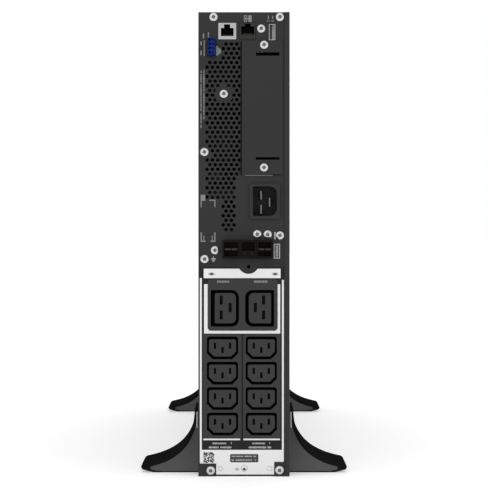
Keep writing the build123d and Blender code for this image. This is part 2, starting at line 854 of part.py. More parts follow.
core_y, core_z = (-76.0, -6.0), (246.0, 306.0)
core_leg = 12.0
window_x = (-inner + core_leg, 0.0)
window_z = grown(core_z, -10.0)
with BuildPart() as transformer:
    slab((-inner, core_leg), core_y, core_z)
    slab(window_x, core_y, window_z, mode=Mode.SUBTRACT)
    slab(window_x, grown(core_y, -22.0), window_z)
    # winding round the middle leg
    slab(grown(window_x, -1.0), grown(core_y, -6.0), grown(window_z, -2.0))
save(transformer, "transformer")


# ---- fans ----
def fan_plane(height):
    return Plane(origin=(0, fan_rear + fan_depth, height), x_dir=(1, 0, 0), z_dir=(0, -1, 0))


fan_bore = 38.2
fan_corner = 4.0
fan_hole_pitch = 71.5
fan_hole_radius = 2.2
strut_thickness = 3.0
fan_pin_length = 19.0
rotor_hub = 17.5
rotor_tip = 36.4
rotor_start = 3.6
rotor_height = 19.8
blade_count = 7
blade_size = (20.0, 21.0, 1.7)
blade_pitch_angle = 42.0


def fan_frame(height):
    with BuildPart() as frame:
        with BuildSketch(fan_plane(height)):
            RectangleRounded(fan_size, fan_size, fan_corner)
            Circle(fan_bore, mode=Mode.SUBTRACT)
            with GridLocations(fan_hole_pitch, fan_hole_pitch, 2, 2):
                Circle(fan_hole_radius, mode=Mode.SUBTRACT)
        extrude(amount=fan_depth)
        # motor mount on four struts, with the pin that the rotor turns on
        with BuildSketch(fan_plane(height)):
            Circle(rotor_hub + 1.5)
            with PolarLocations(28.0, 4, start_angle=45):
                Rectangle(24.0, 4.0)
        extrude(amount=strut_thickness)
        with BuildSketch(fan_plane(height)):
            Circle(fan_pin_radius)
        extrude(amount=fan_pin_length)
    return frame


def fan_rotor(height):
    on_base = (Align.CENTER, Align.CENTER, Align.MIN)
    bore = fan_pin_radius + running_clearance
    with BuildPart(fan_plane(height)) as rotor:
        with Locations((0, 0, rotor_start)):
            Cylinder(rotor_hub, rotor_height, align=on_base)
        fillet(rotor.faces().sort_by(Axis.Y)[0].edges(), 1.5)
        with PolarLocations(rotor_hub + 8.5, blade_count):
            with Locations(Location((0, 0, rotor_start + rotor_height / 2), (blade_pitch_angle, 0, 0))):
                Box(*blade_size)
        with Locations((0, 0, rotor_start)):
            Cylinder(rotor_tip, rotor_height, align=on_base, mode=Mode.INTERSECT)
            Cylinder(bore, rotor_height - 4.0, align=on_base, mode=Mode.SUBTRACT)
    return rotor


for name, height in fan_heights.items():
    save(fan_frame(height), f"fan_frame_{name}")
    save(fan_rotor(height), f"fan_rotor_{name}")


# ---- battery cartridge ----
tray_inside_x = (block_x[0] - fit_gap, tray_x[1])
with BuildPart() as battery_tray:
    # a pan with its open side towards +X
    slab(tray_x, tray_y, tray_z)
    slab(tray_inside_x, grown(tray_y, -sheet), grown(tray_z, -sheet), mode=Mode.SUBTRACT)
save(battery_tray, "battery_tray")

lid_height = 14.0
lid_groove = (0.6, 0.8)
terminal_offset = 24.0
terminal_width = 4.8
terminal_y = (8.0, 8.8)

for row, low_z in enumerate(block_rows):
    for index in range(4):
        low_y = first_block + index * block_step
        with BuildPart() as battery_block:
            slab(block_x, (low_y, low_y + block_length), (low_z, low_z + block_height))
            # lid seam and two spade terminals
            top = low_z + block_height
            block_y = (low_y, low_y + block_length)
            for side in (-1, 1):
                terminal = grown((side * terminal_offset, side * terminal_offset), terminal_width / 2)
                slab(terminal, (low_y + terminal_y[0], low_y + terminal_y[1]), (top, top + terminal_height))
            with BuildSketch(Plane.XY.offset(top - lid_height)):
                rect(block_x, block_y)
                rect(grown(block_x, -lid_groove[0]), grown(block_y, -lid_groove[0]), mode=Mode.SUBTRACT)
            extrude(amount=lid_groove[1], mode=Mode.SUBTRACT)
        save(battery_block, f"battery_block_{row * 4 + index + 1}")

handle_reach = 12.0
handle_bar = 3.0
handle_x = (-7.0, 7.0)
handle_z = (80.0, 150.0)
with BuildPart() as battery_handle:
    # a bail of flat bar that stands off the tray's front wall
    bar_y = (tray_y[1] + handle_reach - handle_bar, tray_y[1] + handle_reach)
    slab(handle_x, bar_y, handle_z)
    for low in (handle_z[0], handle_z[1] - handle_bar):
        slab(handle_x, (tray_y[1], bar_y[0]), (low, low + handle_bar))
    fillet(battery_handle.edges().filter_by(Axis.X).group_by(Axis.Y)[-1], 2.0)
save(battery_handle, "battery_handle")

plug_x, plug_z = (-12.0, 12.0), (104.0, 122.0)
plug_reach = 10.0
plug_back = 3.0
pocket_offset = 5.5
pocket_width = 8.0
pocket_z = grown(plug_z, -3.5)
with BuildPart() as battery_plug:
    slab(plug_x, (tray_y[0] - plug_reach, tray_y[0]), plug_z)
    pocket_y = (tray_y[0] - plug_reach, tray_y[0] - plug_back)
    for side in (-1, 1):
        pocket_x = grown((side * pocket_offset, side * pocket_offset), pocket_width / 2)
        slab(pocket_x, pocket_y, pocket_z, mode=Mode.SUBTRACT)
save(battery_plug, "battery_plug")

door_y = (front_plate, front_plate + sheet)
door_x, door_z = (-39.6, 39.6), (3.0, 228.4)
notch_radius = 9.0
with BuildPart() as battery_door:
    with BuildSketch(upright(door_y[1])):
        rect(door_x, door_z, radius=2.0)
        with Locations(*thumbscrew_points):
            Circle(screw_hole_radius, mode=Mode.SUBTRACT)
        # a pull notch at the top edge
        with Locations((0, door_z[1])):
            Circle(notch_radius, mode=Mode.SUBTRACT)
    extrude(amount=sheet)
save(battery_door, "battery_door")

thumbscrew_radius = 6.0
thumbscrew_height = 7.0
with BuildPart() as door_thumbscrews:
    with BuildSketch(upright(door_y[1])):
        with Locations(*thumbscrew_points):
            Circle(thumbscrew_radius)
            # knurled rim
            with PolarLocations(thumbscrew_radius, 18):
                Circle(0.5, mode=Mode.SUBTRACT)
    extrude(amount=-thumbscrew_height)
    with BuildSketch(upright(door_y[1])):
        with Locations(*thumbscrew_points):
            Circle(screw_radius)
    extrude(amount=sheet)
save(door_thumbscrews, "door_thumbscrews")


# ---- front bezel ----
bezel_back = front_plate + 0.3
bezel_wall = 2.6
bezel_z = (0.4, body_height - 0.4)
bezel_round = 6.0
collar_radius = display_radius + 0.8
collar_wall = 1.8
collar_depth = 8.0
slot_pitch = 8.6
slot_spread = 23.5
slot_length = 20.0
slot_height = 4.6
slot_rows = 36
slot_middle = 176.0
with BuildPart() as front_bezel:
    slab((-half, half), (bezel_back, front_face), bezel_z)
    front_edges = front_bezel.faces().sort_by(Axis.Y)[-1].edges()
    fillet(front_edges, bezel_round)
    hollow_x = (-half + bezel_wall, half - bezel_wall)
    slab(hollow_x, (bezel_back, front_face - bezel_wall), grown(bezel_z, -bezel_wall), mode=Mode.SUBTRACT)
    # collar round the display
    with BuildSketch(upright(front_face - bezel_wall)):
        with Locations((0, display_height)):
            Circle(collar_radius + collar_wall)
    extrude(amount=collar_depth)
    with BuildSketch(upright(front_face)):
        with Locations((0, display_height)):
            Circle(collar_radius)
    extrude(amount=bezel_wall + collar_depth + 1.0, mode=Mode.SUBTRACT)
    # air slots in three columns, with two ribs between them
    with BuildSketch(upright(front_face)):
        with Locations((0, slot_middle)):
            with GridLocations(slot_spread, slot_pitch, 3, slot_rows):
                SlotOverall(slot_length, slot_height)
    extrude(amount=bezel_wall + 1.0, mode=Mode.SUBTRACT)
    # snap posts that plug into the front panel
    with BuildSketch(upright(front_face - bezel_wall)):
        with Locations(*post_points):
            Circle(post_radius)
    extrude(amount=front_face - bezel_wall - front_plate + 3.0)
save(front_bezel, "front_bezel")


# ---- turning display ----
display_y = (304.0, front_face - 0.6)
hub_collar = (4.0, 3.0)
hub_back = front_plate - sheet - hub_collar[1] - 0.4
lens_depth = 1.8
lens_x, lens_z = (-22.0, 22.0), (display_height - 4.0, display_height + 22.0)
button_points = {
    "power": (0.0, display_height - 26.5, 4.6),
    "up": (-18.0, display_height - 13.5, 3.6),
    "down": (0.0, display_height - 13.5, 3.6),
    "enter": (18.0, display_height - 13.5, 3.6),
}
button_gap = 0.3
button_travel = 1.2
button_proud = 0.4
button_back = display_y[1] - 5.0
with BuildPart() as display_housing:
    with BuildSketch(upright(display_y[1])):
        with Locations((0, display_height)):
            Circle(display_radius)
    extrude(amount=-(display_y[0] - display_y[1]))
    rim = display_housing.faces().sort_by(Axis.Y)[-1].edges()
    fillet(rim, 2.0)
    # hub through the front panel, and the collar that keeps it there
    with BuildSketch(upright(display_y[0])):
        with Locations((0, display_height)):
            Circle(display_hub_radius)
    extrude(amount=display_y[0] - hub_back)
    with BuildSketch(upright(hub_back)):
        with Locations((0, display_height)):
            Circle(display_hub_radius + hub_collar[0])
    extrude(amount=-hub_collar[1])
    slab(lens_x, (display_y[1] - lens_depth, display_y[1]), lens_z, mode=Mode.SUBTRACT)
    for x, z, radius in button_points.values():
        with BuildSketch(upright(display_y[1])):
            with Locations((x, z)):
                Circle(radius + button_gap)
        extrude(amount=display_y[1] - button_back + button_travel, mode=Mode.SUBTRACT)
save(display_housing, "display_housing")

with BuildPart() as display_lens:
    slab(lens_x, (display_y[1] - lens_depth, display_y[1] - 0.2), lens_z)
save(display_lens, "display_lens")

for name, (x, z, radius) in button_points.items():
    with BuildPart() as button:
        with BuildSketch(upright(button_back)):
            with Locations((x, z)):
                Circle(radius)
        extrude(amount=-(display_y[1] + button_proud - button_back))
        fillet(button.faces().sort_by(Axis.Y)[-1].edges(), 0.6)
    save(button, f"button_{name}")
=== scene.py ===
import math

import bmesh
import bpy
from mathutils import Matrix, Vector


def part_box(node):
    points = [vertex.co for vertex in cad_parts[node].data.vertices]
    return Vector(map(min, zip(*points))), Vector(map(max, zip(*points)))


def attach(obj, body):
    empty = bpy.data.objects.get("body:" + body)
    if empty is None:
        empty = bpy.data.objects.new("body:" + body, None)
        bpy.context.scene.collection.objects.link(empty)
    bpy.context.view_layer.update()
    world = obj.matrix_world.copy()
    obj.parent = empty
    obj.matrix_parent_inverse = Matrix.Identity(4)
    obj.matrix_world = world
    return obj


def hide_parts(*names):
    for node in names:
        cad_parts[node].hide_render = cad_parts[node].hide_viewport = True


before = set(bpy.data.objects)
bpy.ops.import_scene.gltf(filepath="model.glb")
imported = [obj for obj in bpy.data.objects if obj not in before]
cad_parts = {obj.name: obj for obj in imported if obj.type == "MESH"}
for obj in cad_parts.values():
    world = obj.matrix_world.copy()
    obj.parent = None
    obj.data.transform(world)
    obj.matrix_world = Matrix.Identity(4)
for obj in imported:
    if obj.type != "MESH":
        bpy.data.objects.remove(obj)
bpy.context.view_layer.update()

mm = 0.001
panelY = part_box("outlet_panel")[0].y       # the connector face
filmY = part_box("outlet_label")[0].y        # the printed film on it
print("frame loaded,", len(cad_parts), "nodes")


class Wire:
    # one output socket; arithmetic on it adds Math nodes
    def __init__(self, tree, socket):
        self.tree = tree
        self.socket = socket

    def math(self, operation, *values):
        kind = "ShaderNodeMath"
        return self.tree.add(kind, {"operation": operation}, dict(enumerate(values)))

    def __add__(self, other):
        return self.math("ADD", self, other)

    def __radd__(self, other):
        return self.math("ADD", other, self)

    def __sub__(self, other):
        return self.math("SUBTRACT", self, other)

    def __rsub__(self, other):
        return self.math("SUBTRACT", other, self)

    def __mul__(self, other):
        return self.math("MULTIPLY", self, other)

    def __rmul__(self, other):
        return self.math("MULTIPLY", other, self)

    def __truediv__(self, other):
        return self.math("DIVIDE", self, other)

    def __rtruediv__(self, other):
        return self.math("DIVIDE", other, self)

    def __lt__(self, other):
        return self.math("LESS_THAN", self, other)

    def __gt__(self, other):
        return self.math("GREATER_THAN", self, other)

    def smaller(self, other):
        return self.math("MINIMUM", self, other)

    def larger(self, other):
        return self.math("MAXIMUM", self, other)


class Tree:
    # a node tree whose nodes all come from add()
    def __init__(self, nodeTree):
        self.nodes = nodeTree.nodes
        self.links = nodeTree.links

    def add(self, kind, settings=None, values=None, out=0):
        made = self.nodes.new(kind)
        for key, value in (settings or {}).items():
            setattr(made, key, value)
        for key, value in (values or {}).items():
            self.feed(made.inputs[key], value)
        return Wire(self, made.outputs[out])

    def feed(self, socket, value):
        if isinstance(value, Wire):
            self.links.new(value.socket, socket)
        else:
            socket.default_value = value


class Finish(Tree):
    # a material with one Principled shader
    def __init__(self, name, colour, roughness, metallic=0.0):
        self.material = bpy.data.materials.new(name)
        self.material.use_nodes = True
        super().__init__(self.material.node_tree)
        self.surface = self.nodes["Principled BSDF"]
        self.colour = tuple(colour) + (1.0,)
        self.coords = self.add("ShaderNodeTexCoord", out="Object")
        self.feed(self.surface.inputs["Base Color"], self.colour)
        self.feed(self.surface.inputs["Roughness"], roughness)
        self.feed(self.surface.inputs["Metallic"], metallic)

    def noise(self, scale, detail=3.0, stretch=None):
        where = self.coords
        if stretch:
            where = self.add("ShaderNodeMapping", {}, {"Vector": self.coords, "Scale": stretch})
        values = {"Vector": where, "Scale": scale, "Detail": detail}
        return self.add("ShaderNodeTexNoise", {}, values, out="Fac")

    def mix(self, factor, first, second):
        values = {0: factor, 6: first, 7: second}
        return self.add("ShaderNodeMix", {"data_type": "RGBA"}, values, out=2)

    def shade(self, amount):
        return tuple(min(1.0, c * amount) for c in self.colour[:3]) + (1.0,)

    def set(self, name, value):
        self.feed(self.surface.inputs[name], value)
        return self

    def bump(self, height, strength, distance):
        values = {"Height": height, "Strength": strength, "Distance": distance}
        return self.set("Normal", self.add("ShaderNodeBump", {}, values, out="Normal"))


class Growth(Tree):
    # a Geometry Nodes group with named inputs, run once and kept as a plain mesh
    kinds = {int: "Int", float: "Float", tuple: "Vector"}

    def __init__(self, name, inputs):
        self.group = bpy.data.node_groups.new(name, "GeometryNodeTree")
        face = self.group.interface
        face.new_socket("Geometry", in_out="INPUT", socket_type="NodeSocketGeometry")
        self.identifiers = {}
        for label, value in {**inputs, "Material": "Material"}.items():
            kind = self.kinds.get(type(value), value)     # a word stands for a socket with no value
            socket = face.new_socket(label, in_out="INPUT", socket_type=f"NodeSocket{kind}")
            if kind != value:
                socket.default_value = value
            self.identifiers[label] = socket.identifier
        face.new_socket("Geometry", in_out="OUTPUT", socket_type="NodeSocketGeometry")
        super().__init__(self.group)
        self.start = self.nodes.new("NodeGroupInput")
        self.end = self.nodes.new("NodeGroupOutput")

    def given(self, label):
        return Wire(self, self.start.outputs[label])

    def finish(self, geometry):
        # faces already given a second material keep it
        realized = self.add("GeometryNodeRealizeInstances", {}, {"Geometry": geometry})
        first = self.add("GeometryNodeInputMaterialIndex") < 0.5
        values = {"Geometry": realized, "Selection": first, "Material": self.given("Material")}
        self.feed(self.end.inputs[0], self.add("GeometryNodeSetMaterial", {}, values))

    def grow(self, name, seedMesh, **settings):
        host = bpy.data.objects.new(name + "Host", seedMesh)
        bpy.context.scene.collection.objects.link(host)
        modifier = host.modifiers.new("grow", "NODES")
        modifier.node_group = self.group
        for label, value in settings.items():
            modifier[self.identifiers[label]] = value
        mesh = plainMesh(host)
        host.modifiers.remove(modifier)
        bpy.data.objects.remove(host)
        return newPiece(name, mesh)


def plainMesh(host):
    bpy.context.view_layer.update()
    depsgraph = bpy.context.evaluated_depsgraph_get()
    return bpy.data.meshes.new_from_object(host.evaluated_get(depsgraph))


def newPiece(name, mesh):
    piece = bpy.data.objects.new(name, mesh)
    mesh.name = name
    bpy.context.scene.collection.objects.link(piece)
    return piece


def meshFrom(shape, name, *finishes):
    bmesh.ops.recalc_face_normals(shape, faces=shape.faces[:])
    mesh = bpy.data.meshes.new(name)
    shape.to_mesh(mesh)
    shape.free()
    for finish in finishes:
        mesh.materials.append(finish.material)
    return mesh


def built(name, shape, *finishes):
    return newPiece(name, meshFrom(shape, name, *finishes))


def boxes(name, finish, *limits):
    # one piece made of boxes, each given by its x, y and z limits in millimetres
    shape = bmesh.new()
    for x, y, z in limits:
        corners = [shape.verts.new((a * mm, b * mm, c * mm)) for a in x for b in y for c in z]
        for quad in ((0, 1, 3, 2), (4, 6, 7, 5), (0, 4, 5, 1), (2, 3, 7, 6), (0, 2, 6, 4), (1, 5, 7, 3)):
            shape.faces.new([corners[i] for i in quad])
    return built(name, shape, finish)


def bridge(shape, first, second):
    # a band of faces between two closed loops of equal length
    for index in range(len(first)):
        after = (index + 1) % len(first)
        shape.faces.new((first[index], first[after], second[after], second[index]))


def turned(shape, profile, segments, axis, centre=(0, 0, 0), sign=1, closed=False):
    # a lathe along X (axis 0) or Y (axis 1); profile points are radius and rise in millimetres
    rings = []
    for radius, rise in profile:
        ring = []
        for index in range(1 if radius < 0.001 else segments):
            turn = math.tau * index / segments
            place = [radius * math.cos(turn), radius * math.sin(turn)]
            place.insert(axis, sign * rise)
            ring.append(shape.verts.new([(start + c) * mm for start, c in zip(centre, place)]))
        rings.append(ring)
    pairs = list(zip(rings, rings[1:]))
    if closed:
        pairs.append((rings[-1], rings[0]))
    for low, high in pairs:
        if len(low) == len(high):
            bridge(shape, low, high)
            continue
        for index in range(segments):
            after = (index + 1) % segments
            if len(low) == 1:
                shape.faces.new((low[0], high[index], high[after]))
            else:
                shape.faces.new((low[index], low[after], high[0]))


def pointMesh(places):
    mesh = bpy.data.meshes.new("places")
    mesh.from_pydata([tuple(c * mm for c in place) for place in places], [], [])
    return mesh


def joined(name, parts):
    # one piece out of several that share a finish
    shape = bmesh.new()
    for part in parts:
        shape.from_mesh(part.data)
    mesh = bpy.data.meshes.new(name)
    shape.to_mesh(mesh)
    shape.free()
    for material in parts[0].data.materials:
        mesh.materials.append(material)
    for part in parts:
        bpy.data.objects.remove(part)
    return newPiece(name, mesh)


def softEdges(piece, width, segments=2, angle=35):
    bevel = piece.modifiers.new("softEdges", "BEVEL")
    bevel.width = width * mm
    bevel.segments = segments
    bevel.limit_method = "ANGLE"
    bevel.angle_limit = math.radians(angle)
    piece.data = plainMesh(piece)
    piece.modifiers.clear()
    return piece


def smoothBy(piece, degrees=35):
    piece.data.set_sharp_from_angle(angle=math.radians(degrees))
    for polygon in piece.data.polygons:
        polygon.use_smooth = True
    return piece


def cut(piece, cutter):
    boolean = piece.modifiers.new("cut", "BOOLEAN")
    boolean.operation = "DIFFERENCE"
    boolean.solver = "EXACT"
    boolean.material_mode = "TRANSFER"
    boolean.object = cutter
    piece.data = plainMesh(piece)
    piece.modifiers.clear()
    bpy.data.objects.remove(cutter)
    return piece


# finishes: paint, plastics, metals and inks
socketShadeStart = panelY + 0.0006     # where the painted shade in the outlet sockets starts
socketShadeDepth = 0.003                # and how much deeper it is where the painted shade is darkest


def powderCoat(name, colour, shine=0.22):
    coat = Finish(name, colour, 0.5)
    fine = coat.noise(1700.0, 2.0)
    broad = coat.noise(14.0, 3.0)
    coat.set("Base Color", coat.mix(broad, coat.shade(0.86), coat.shade(1.14)))
    coat.set("Roughness", 0.42 + 0.2 * fine)
    coat.set("Specular IOR Level", shine)
    return coat.bump(fine, 0.35, 0.00012)


def mouldedPlastic(name, colour, roughness=0.5, grain=2600.0, depth=0.00006, shine=0.25):
    plastic = Finish(name, colour, roughness)
    texture = plastic.noise(grain, 1.0)
    broad = plastic.noise(30.0, 2.0)
    plastic.set("Base Color", plastic.mix(broad, plastic.shade(0.88), plastic.shade(1.12)))
    plastic.set("Roughness", roughness - 0.06 + 0.14 * broad)
    plastic.set("Specular IOR Level", shine)
    return plastic.bump(texture, 0.3, depth)


def shadedSocketPlastic(name, colour, roughness):
    # moulded plastic with painted shade: darker, and rougher, down in its sockets
    plastic = mouldedPlastic(name, colour, roughness)
    depth = plastic.add("ShaderNodeSeparateXYZ", {}, {"Vector": plastic.coords}, out=1)
    sunk = ((depth - socketShadeStart) / socketShadeDepth).larger(0.0).smaller(1.0)
    plastic.set("Base Color", plastic.mix(sunk, plastic.shade(1.0), plastic.shade(0.06)))
    return plastic.set("Roughness", roughness + (0.97 - roughness) * sunk)


def brushedMetal(name, colour, roughness, stretch):
    metal = Finish(name, colour, roughness, 1.0)
    streaks = metal.noise(420.0, 2.0, stretch)
    metal.set("Base Color", metal.mix(streaks, metal.shade(0.86), metal.shade(1.08)))
    metal.set("Roughness", roughness - 0.08 + 0.2 * streaks)
    return metal.bump(streaks, 0.15, 0.00004)


def zincPlate(name, colour, roughness):
    metal = Finish(name, colour, roughness, 1.0)
    spangle = metal.noise(260.0, 4.0)
    metal.set("Base Color", metal.mix(spangle, metal.shade(0.85), metal.shade(1.05)))
    metal.set("Roughness", roughness - 0.05 + 0.16 * spangle)
    return metal.bump(spangle, 0.1, 0.00003)


def printedInk(name, colour):
    ink = Finish(name, colour, 0.46)
    wear = ink.noise(900.0, 3.0)
    ink.set("Base Color", ink.mix(wear, ink.shade(0.93), ink.shade(1.03)))
    return ink.bump(wear, 0.05, 0.00002)


casePaint = powderCoat("casePaint", (0.0208, 0.021, 0.0214))
darkFilm = mouldedPlastic("darkFilm", (0.013, 0.013, 0.0135), 0.45, 900.0, 0.00002, 0.14)
# outlet plastic with painted shade down in its sockets
outletPlastic = shadedSocketPlastic("outletPlastic", (0.027, 0.027, 0.0275), 0.5)
inletPlastic = mouldedPlastic("inletPlastic", (0.019, 0.019, 0.0194), 0.5)
portPlastic = mouldedPlastic("portPlastic", (0.0042, 0.0028, 0.0022), 0.45, shine=0.1)
bezelPlastic = mouldedPlastic("bezelPlastic", (0.014, 0.014, 0.0145), 0.45, 2000.0, 0.0001)
footSkin = mouldedPlastic("footSkin", (0.009, 0.009, 0.0092), 0.6, 2000.0, 0.00008, 0.0)
footWeb = mouldedPlastic("footWeb", (0.076, 0.076, 0.077), 0.55, 1500.0, 0.0001)
fanPlastic = mouldedPlastic("fanPlastic", (0.012, 0.012, 0.0125), 0.5)
epoPlastic = mouldedPlastic("epoPlastic", (0.001, 0.017, 0.15), 0.45, shine=0.12)
headerPlastic = mouldedPlastic("headerPlastic", (0.012, 0.014, 0.02), 0.5)
batteryCase = mouldedPlastic("batteryCase", (0.035, 0.036, 0.04), 0.5)
greyPlastic = mouldedPlastic("greyPlastic", (0.22, 0.22, 0.225), 0.5)
glossBlack = mouldedPlastic("glossBlack", (0.009, 0.009, 0.0095), 0.16, 300.0, 0.000005, 0.5)
linerBlack = mouldedPlastic("linerBlack", (0.003, 0.003, 0.003), 0.6, 900.0, 0.00002, 0.1)
dimGold = zincPlate("dimGold", (0.07, 0.048, 0.02), 0.4)
screenGlass = mouldedPlastic("screenGlass", (0.008, 0.02, 0.032), 0.1, 200.0, 0.000003, 0.5)
sleeveBlack = mouldedPlastic("sleeveBlack", (0.014, 0.014, 0.02), 0.3)
boardGreen = mouldedPlastic("boardGreen", (0.004, 0.03, 0.016), 0.35)
screwPlate = zincPlate("screwPlate", (0.62, 0.62, 0.63), 0.3)
recessShade = zincPlate("recessShade", (0.2, 0.2, 0.205), 0.5)
jackShield = brushedMetal("jackShield", (0.45, 0.455, 0.47), 0.3, (1.0, 1.0, 8.0))
steelPlate = zincPlate("steelPlate", (0.48, 0.49, 0.505), 0.36)
sinkAluminium = brushedMetal("sinkAluminium", (0.06, 0.06, 0.063), 0.4, (1.0, 0.05, 1.0))
bladeMetal = brushedMetal("bladeMetal", (0.25, 0.245, 0.235), 0.3, (6.0, 1.0, 0.4))
contactShade = brushedMetal("contactShade", (0.03, 0.027, 0.024), 0.5, (6.0, 1.0, 0.4))
goldContact = zincPlate("goldContact", (0.9, 0.66, 0.26), 0.24)
brassHex = zincPlate("brassHex", (0.8, 0.6, 0.3), 0.3)
# copper wire coloured near black as painted shade of the unit's dark inside
copperWire = mouldedPlastic("copperWire", (0.028, 0.009, 0.004), 0.35)
coreSteel = brushedMetal("coreSteel", (0.22, 0.22, 0.23), 0.5, (12.0, 1.0, 1.0))
# near-black colour for painted shade in the gap and slit beside the slot cover
shadowBlack = mouldedPlastic("shadowBlack", (0.004, 0.004, 0.004), 0.9)
# light grey colour for a painted highlight along the slot cover's lower edge
edgeHighlight = printedInk("edgeHighlight", (0.16, 0.16, 0.165))
epoShade = mouldedPlastic("epoShade", (0.004, 0.014, 0.06), 0.5)
bronzeBlade = brushedMetal("bronzeBlade", (0.05, 0.04, 0.034), 0.42, (1.0, 1.0, 6.0))
inkWhite = printedInk("inkWhite", (0.74, 0.74, 0.74))
inkPale = printedInk("inkPale", (0.42, 0.42, 0.42))
inkGrey = printedInk("inkGrey", (0.19, 0.19, 0.192))
inkSoft = printedInk("inkSoft", (0.03, 0.03, 0.03))
inkDark = printedInk("inkDark", (0.02, 0.02, 0.021))

nodeFinishes = {
    casePaint: [
        "base_wall", "top_wall", "bottom_wall", "side_cover", "rear_panel", "outlet_panel", "slot_cover",
        "front_panel", "battery_door",
    ],
    darkFilm: ["outlet_label"],
    outletPlastic: ["c13_outlets_left", "c13_outlets_right", "c19_outlets"],
    inletPlastic: ["ac_inlet", "serial_jack"],
    portPlastic: ["battery_port"],
    bezelPlastic: ["front_bezel"],
    footWeb: ["rear_left_foot", "rear_right_foot", "front_left_foot", "front_right_foot"],
    fanPlastic: ["fan_frame_upper", "fan_frame_lower", "fan_rotor_upper", "fan_rotor_lower"],
    epoPlastic: ["epo_plug"],
    headerPlastic: ["epo_header"],
    batteryCase: [f"battery_block_{number}" for number in range(1, 9)],
    greyPlastic: [
        "battery_handle", "battery_plug", "button_power", "button_up", "button_down", "button_enter",
    ],
    glossBlack: ["display_housing"],
    screenGlass: ["display_lens"],
    sleeveBlack: ["bus_capacitors"],
    boardGreen: ["power_board", "control_board"],
    screwPlate: ["rear_screws", "foot_screws", "door_thumbscrews"],
    jackShield: ["network_jack", "usb_port"],
    steelPlate: ["card_cage", "bay_divider", "battery_tray"],
    sinkAluminium: ["heat_sinks"],
    bladeMetal: ["inlet_pins"],
    contactShade: ["outlet_contacts"],
    brassHex: ["board_standoffs"],
    copperWire: ["inductors"],
    coreSteel: ["transformer"],
}
for finish, names in nodeFinishes.items():
    for name in names:
        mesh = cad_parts[name].data
        mesh.materials.clear()
        mesh.materials.append(finish.material)
print("finishes given to", sum(len(names) for names in nodeFinishes.values()), "nodes")


screwLook = {
    "radius": 4.1,
    "height": 2.4,
    "rim": 0.55,          # straight edge below the dome
    "segments": 36,
    "domeSteps": 8,
    "recess": 2.1,        # half length of the cross
    "recessWidth": 1.5,
    "recessDepth": 1.7,
    "taper": 0.6,         # size of the cross at its floor
    "well": 1.5,          # radius of the round middle of the recess
    "seed": 4,
}
flushLook = {
    **screwLook, "radius": 3.3, "height": 0.55, "rim": 0.3,
    "recess": 1.7, "recessWidth": 0.9, "recessDepth": 0.45, "well": 1.1,
}
# centres (x, z) on the connector face, and how far each seat stands off it
rearScrewPlaces = [
    (-28.4, 427.3, 0), (33.4, 427.3, 0), (16.0, 416.6, 0), (-18.8, 355.9, 0.5), (-36.8, 301.8, 0),
    (12.3, 225.3, 0), (22.0, 225.1, 0), (33.4, 224.2, 0), (-27.0, 210.4, 0), (-36.6, 202.2, 0),
    (18.7, 401.4, 1.2), (18.6, 287.3, 1.2), (-31.0, 5.6, 1.2), (33.0, 6.0, 1.2),
]
footSeat = 45.1
footScrewHeight = 44.0
footScrewSteps = (14.0, 42.0)      # from the rear end of each foot
flushScrewPlaces = [(-285, 424), (-100, 424), (90, 424), (275, 424), (-190, 8), (-20, 8), (150, 8)]


def screwHead(name, look):
    # turned head facing -Y with a tapered cross recess
    radius, height, rim = look["radius"], look["height"], look["rim"]
    profile = [(0.0, 0.0), (radius, 0.0), (radius, rim)]
    for step in range(1, look["domeSteps"] + 1):
        angle = math.pi / 2 * step / look["domeSteps"]
        profile.append((radius * max(0.0, math.cos(angle)) ** 0.75, rim + (height - rim) * math.sin(angle)))
    shape = bmesh.new()
    turned(shape, profile, look["segments"], 1, sign=-1)
    head = built(name, shape, screwPlate)
    arm, width, floor = look["recess"], look["recessWidth"] / 2, look["recessDepth"] - height
    for halfX, halfZ in ((arm, width), (width, arm)):
        cross = boxes("cross", recessShade, ((-halfX, halfX), (-height - 1, floor), (-halfZ, halfZ)))
        for vertex in cross.data.vertices:
            if abs(vertex.co.y - floor * mm) < 1e-7:
                vertex.co.x *= look["taper"]
                vertex.co.z *= look["taper"]
        head = cut(head, cross)
    well = bmesh.new()
    radius = look["well"]
    profile = [(0.0, -floor), (radius, -floor), (radius, height + 1), (0.0, height + 1)]
    turned(well, profile, 24, 1, sign=-1)
    return smoothBy(cut(head, built("well", well, recessShade)), 40)


def screwTree():
    tree = Growth("screwField", {
        "Screw": "Object",
        "Facing": (0.0, 0.0, 0.0),
        "Seed": 0,
    })
    head = tree.add("GeometryNodeObjectInfo", {}, {"Object": tree.given("Screw")}, out="Geometry")
    values = {"Points": tree.given("Geometry"), "Instance": head, "Rotation": tree.given("Facing")}
    placed = tree.add("GeometryNodeInstanceOnPoints", {}, values)
    values = {2: 0.0, 3: math.tau, "Seed": tree.given("Seed")}
    angle = tree.add("FunctionNodeRandomValue", {"data_type": "FLOAT"}, values, out=1)
    turn = tree.add("ShaderNodeCombineXYZ", {}, {"Y": angle})
    tree.finish(tree.add("GeometryNodeRotateInstances", {}, {"Instances": placed, "Rotation": turn}))
    return tree


def growScrews(name, head, places, facing=0.0):
    settings = {"Screw": head, "Facing": (0.0, 0.0, facing), "Seed": screwLook["seed"]}
    return screwField.grow(name, pointMesh(places), Material=screwPlate.material, **settings)


def onBody(body, piece, slot, *replaced):
    if replaced:
        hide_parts(*replaced)
    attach(piece, body)
    return piece


def onChassis(piece, slot, *replaced):
    return onBody("chassis", piece, slot, *replaced)


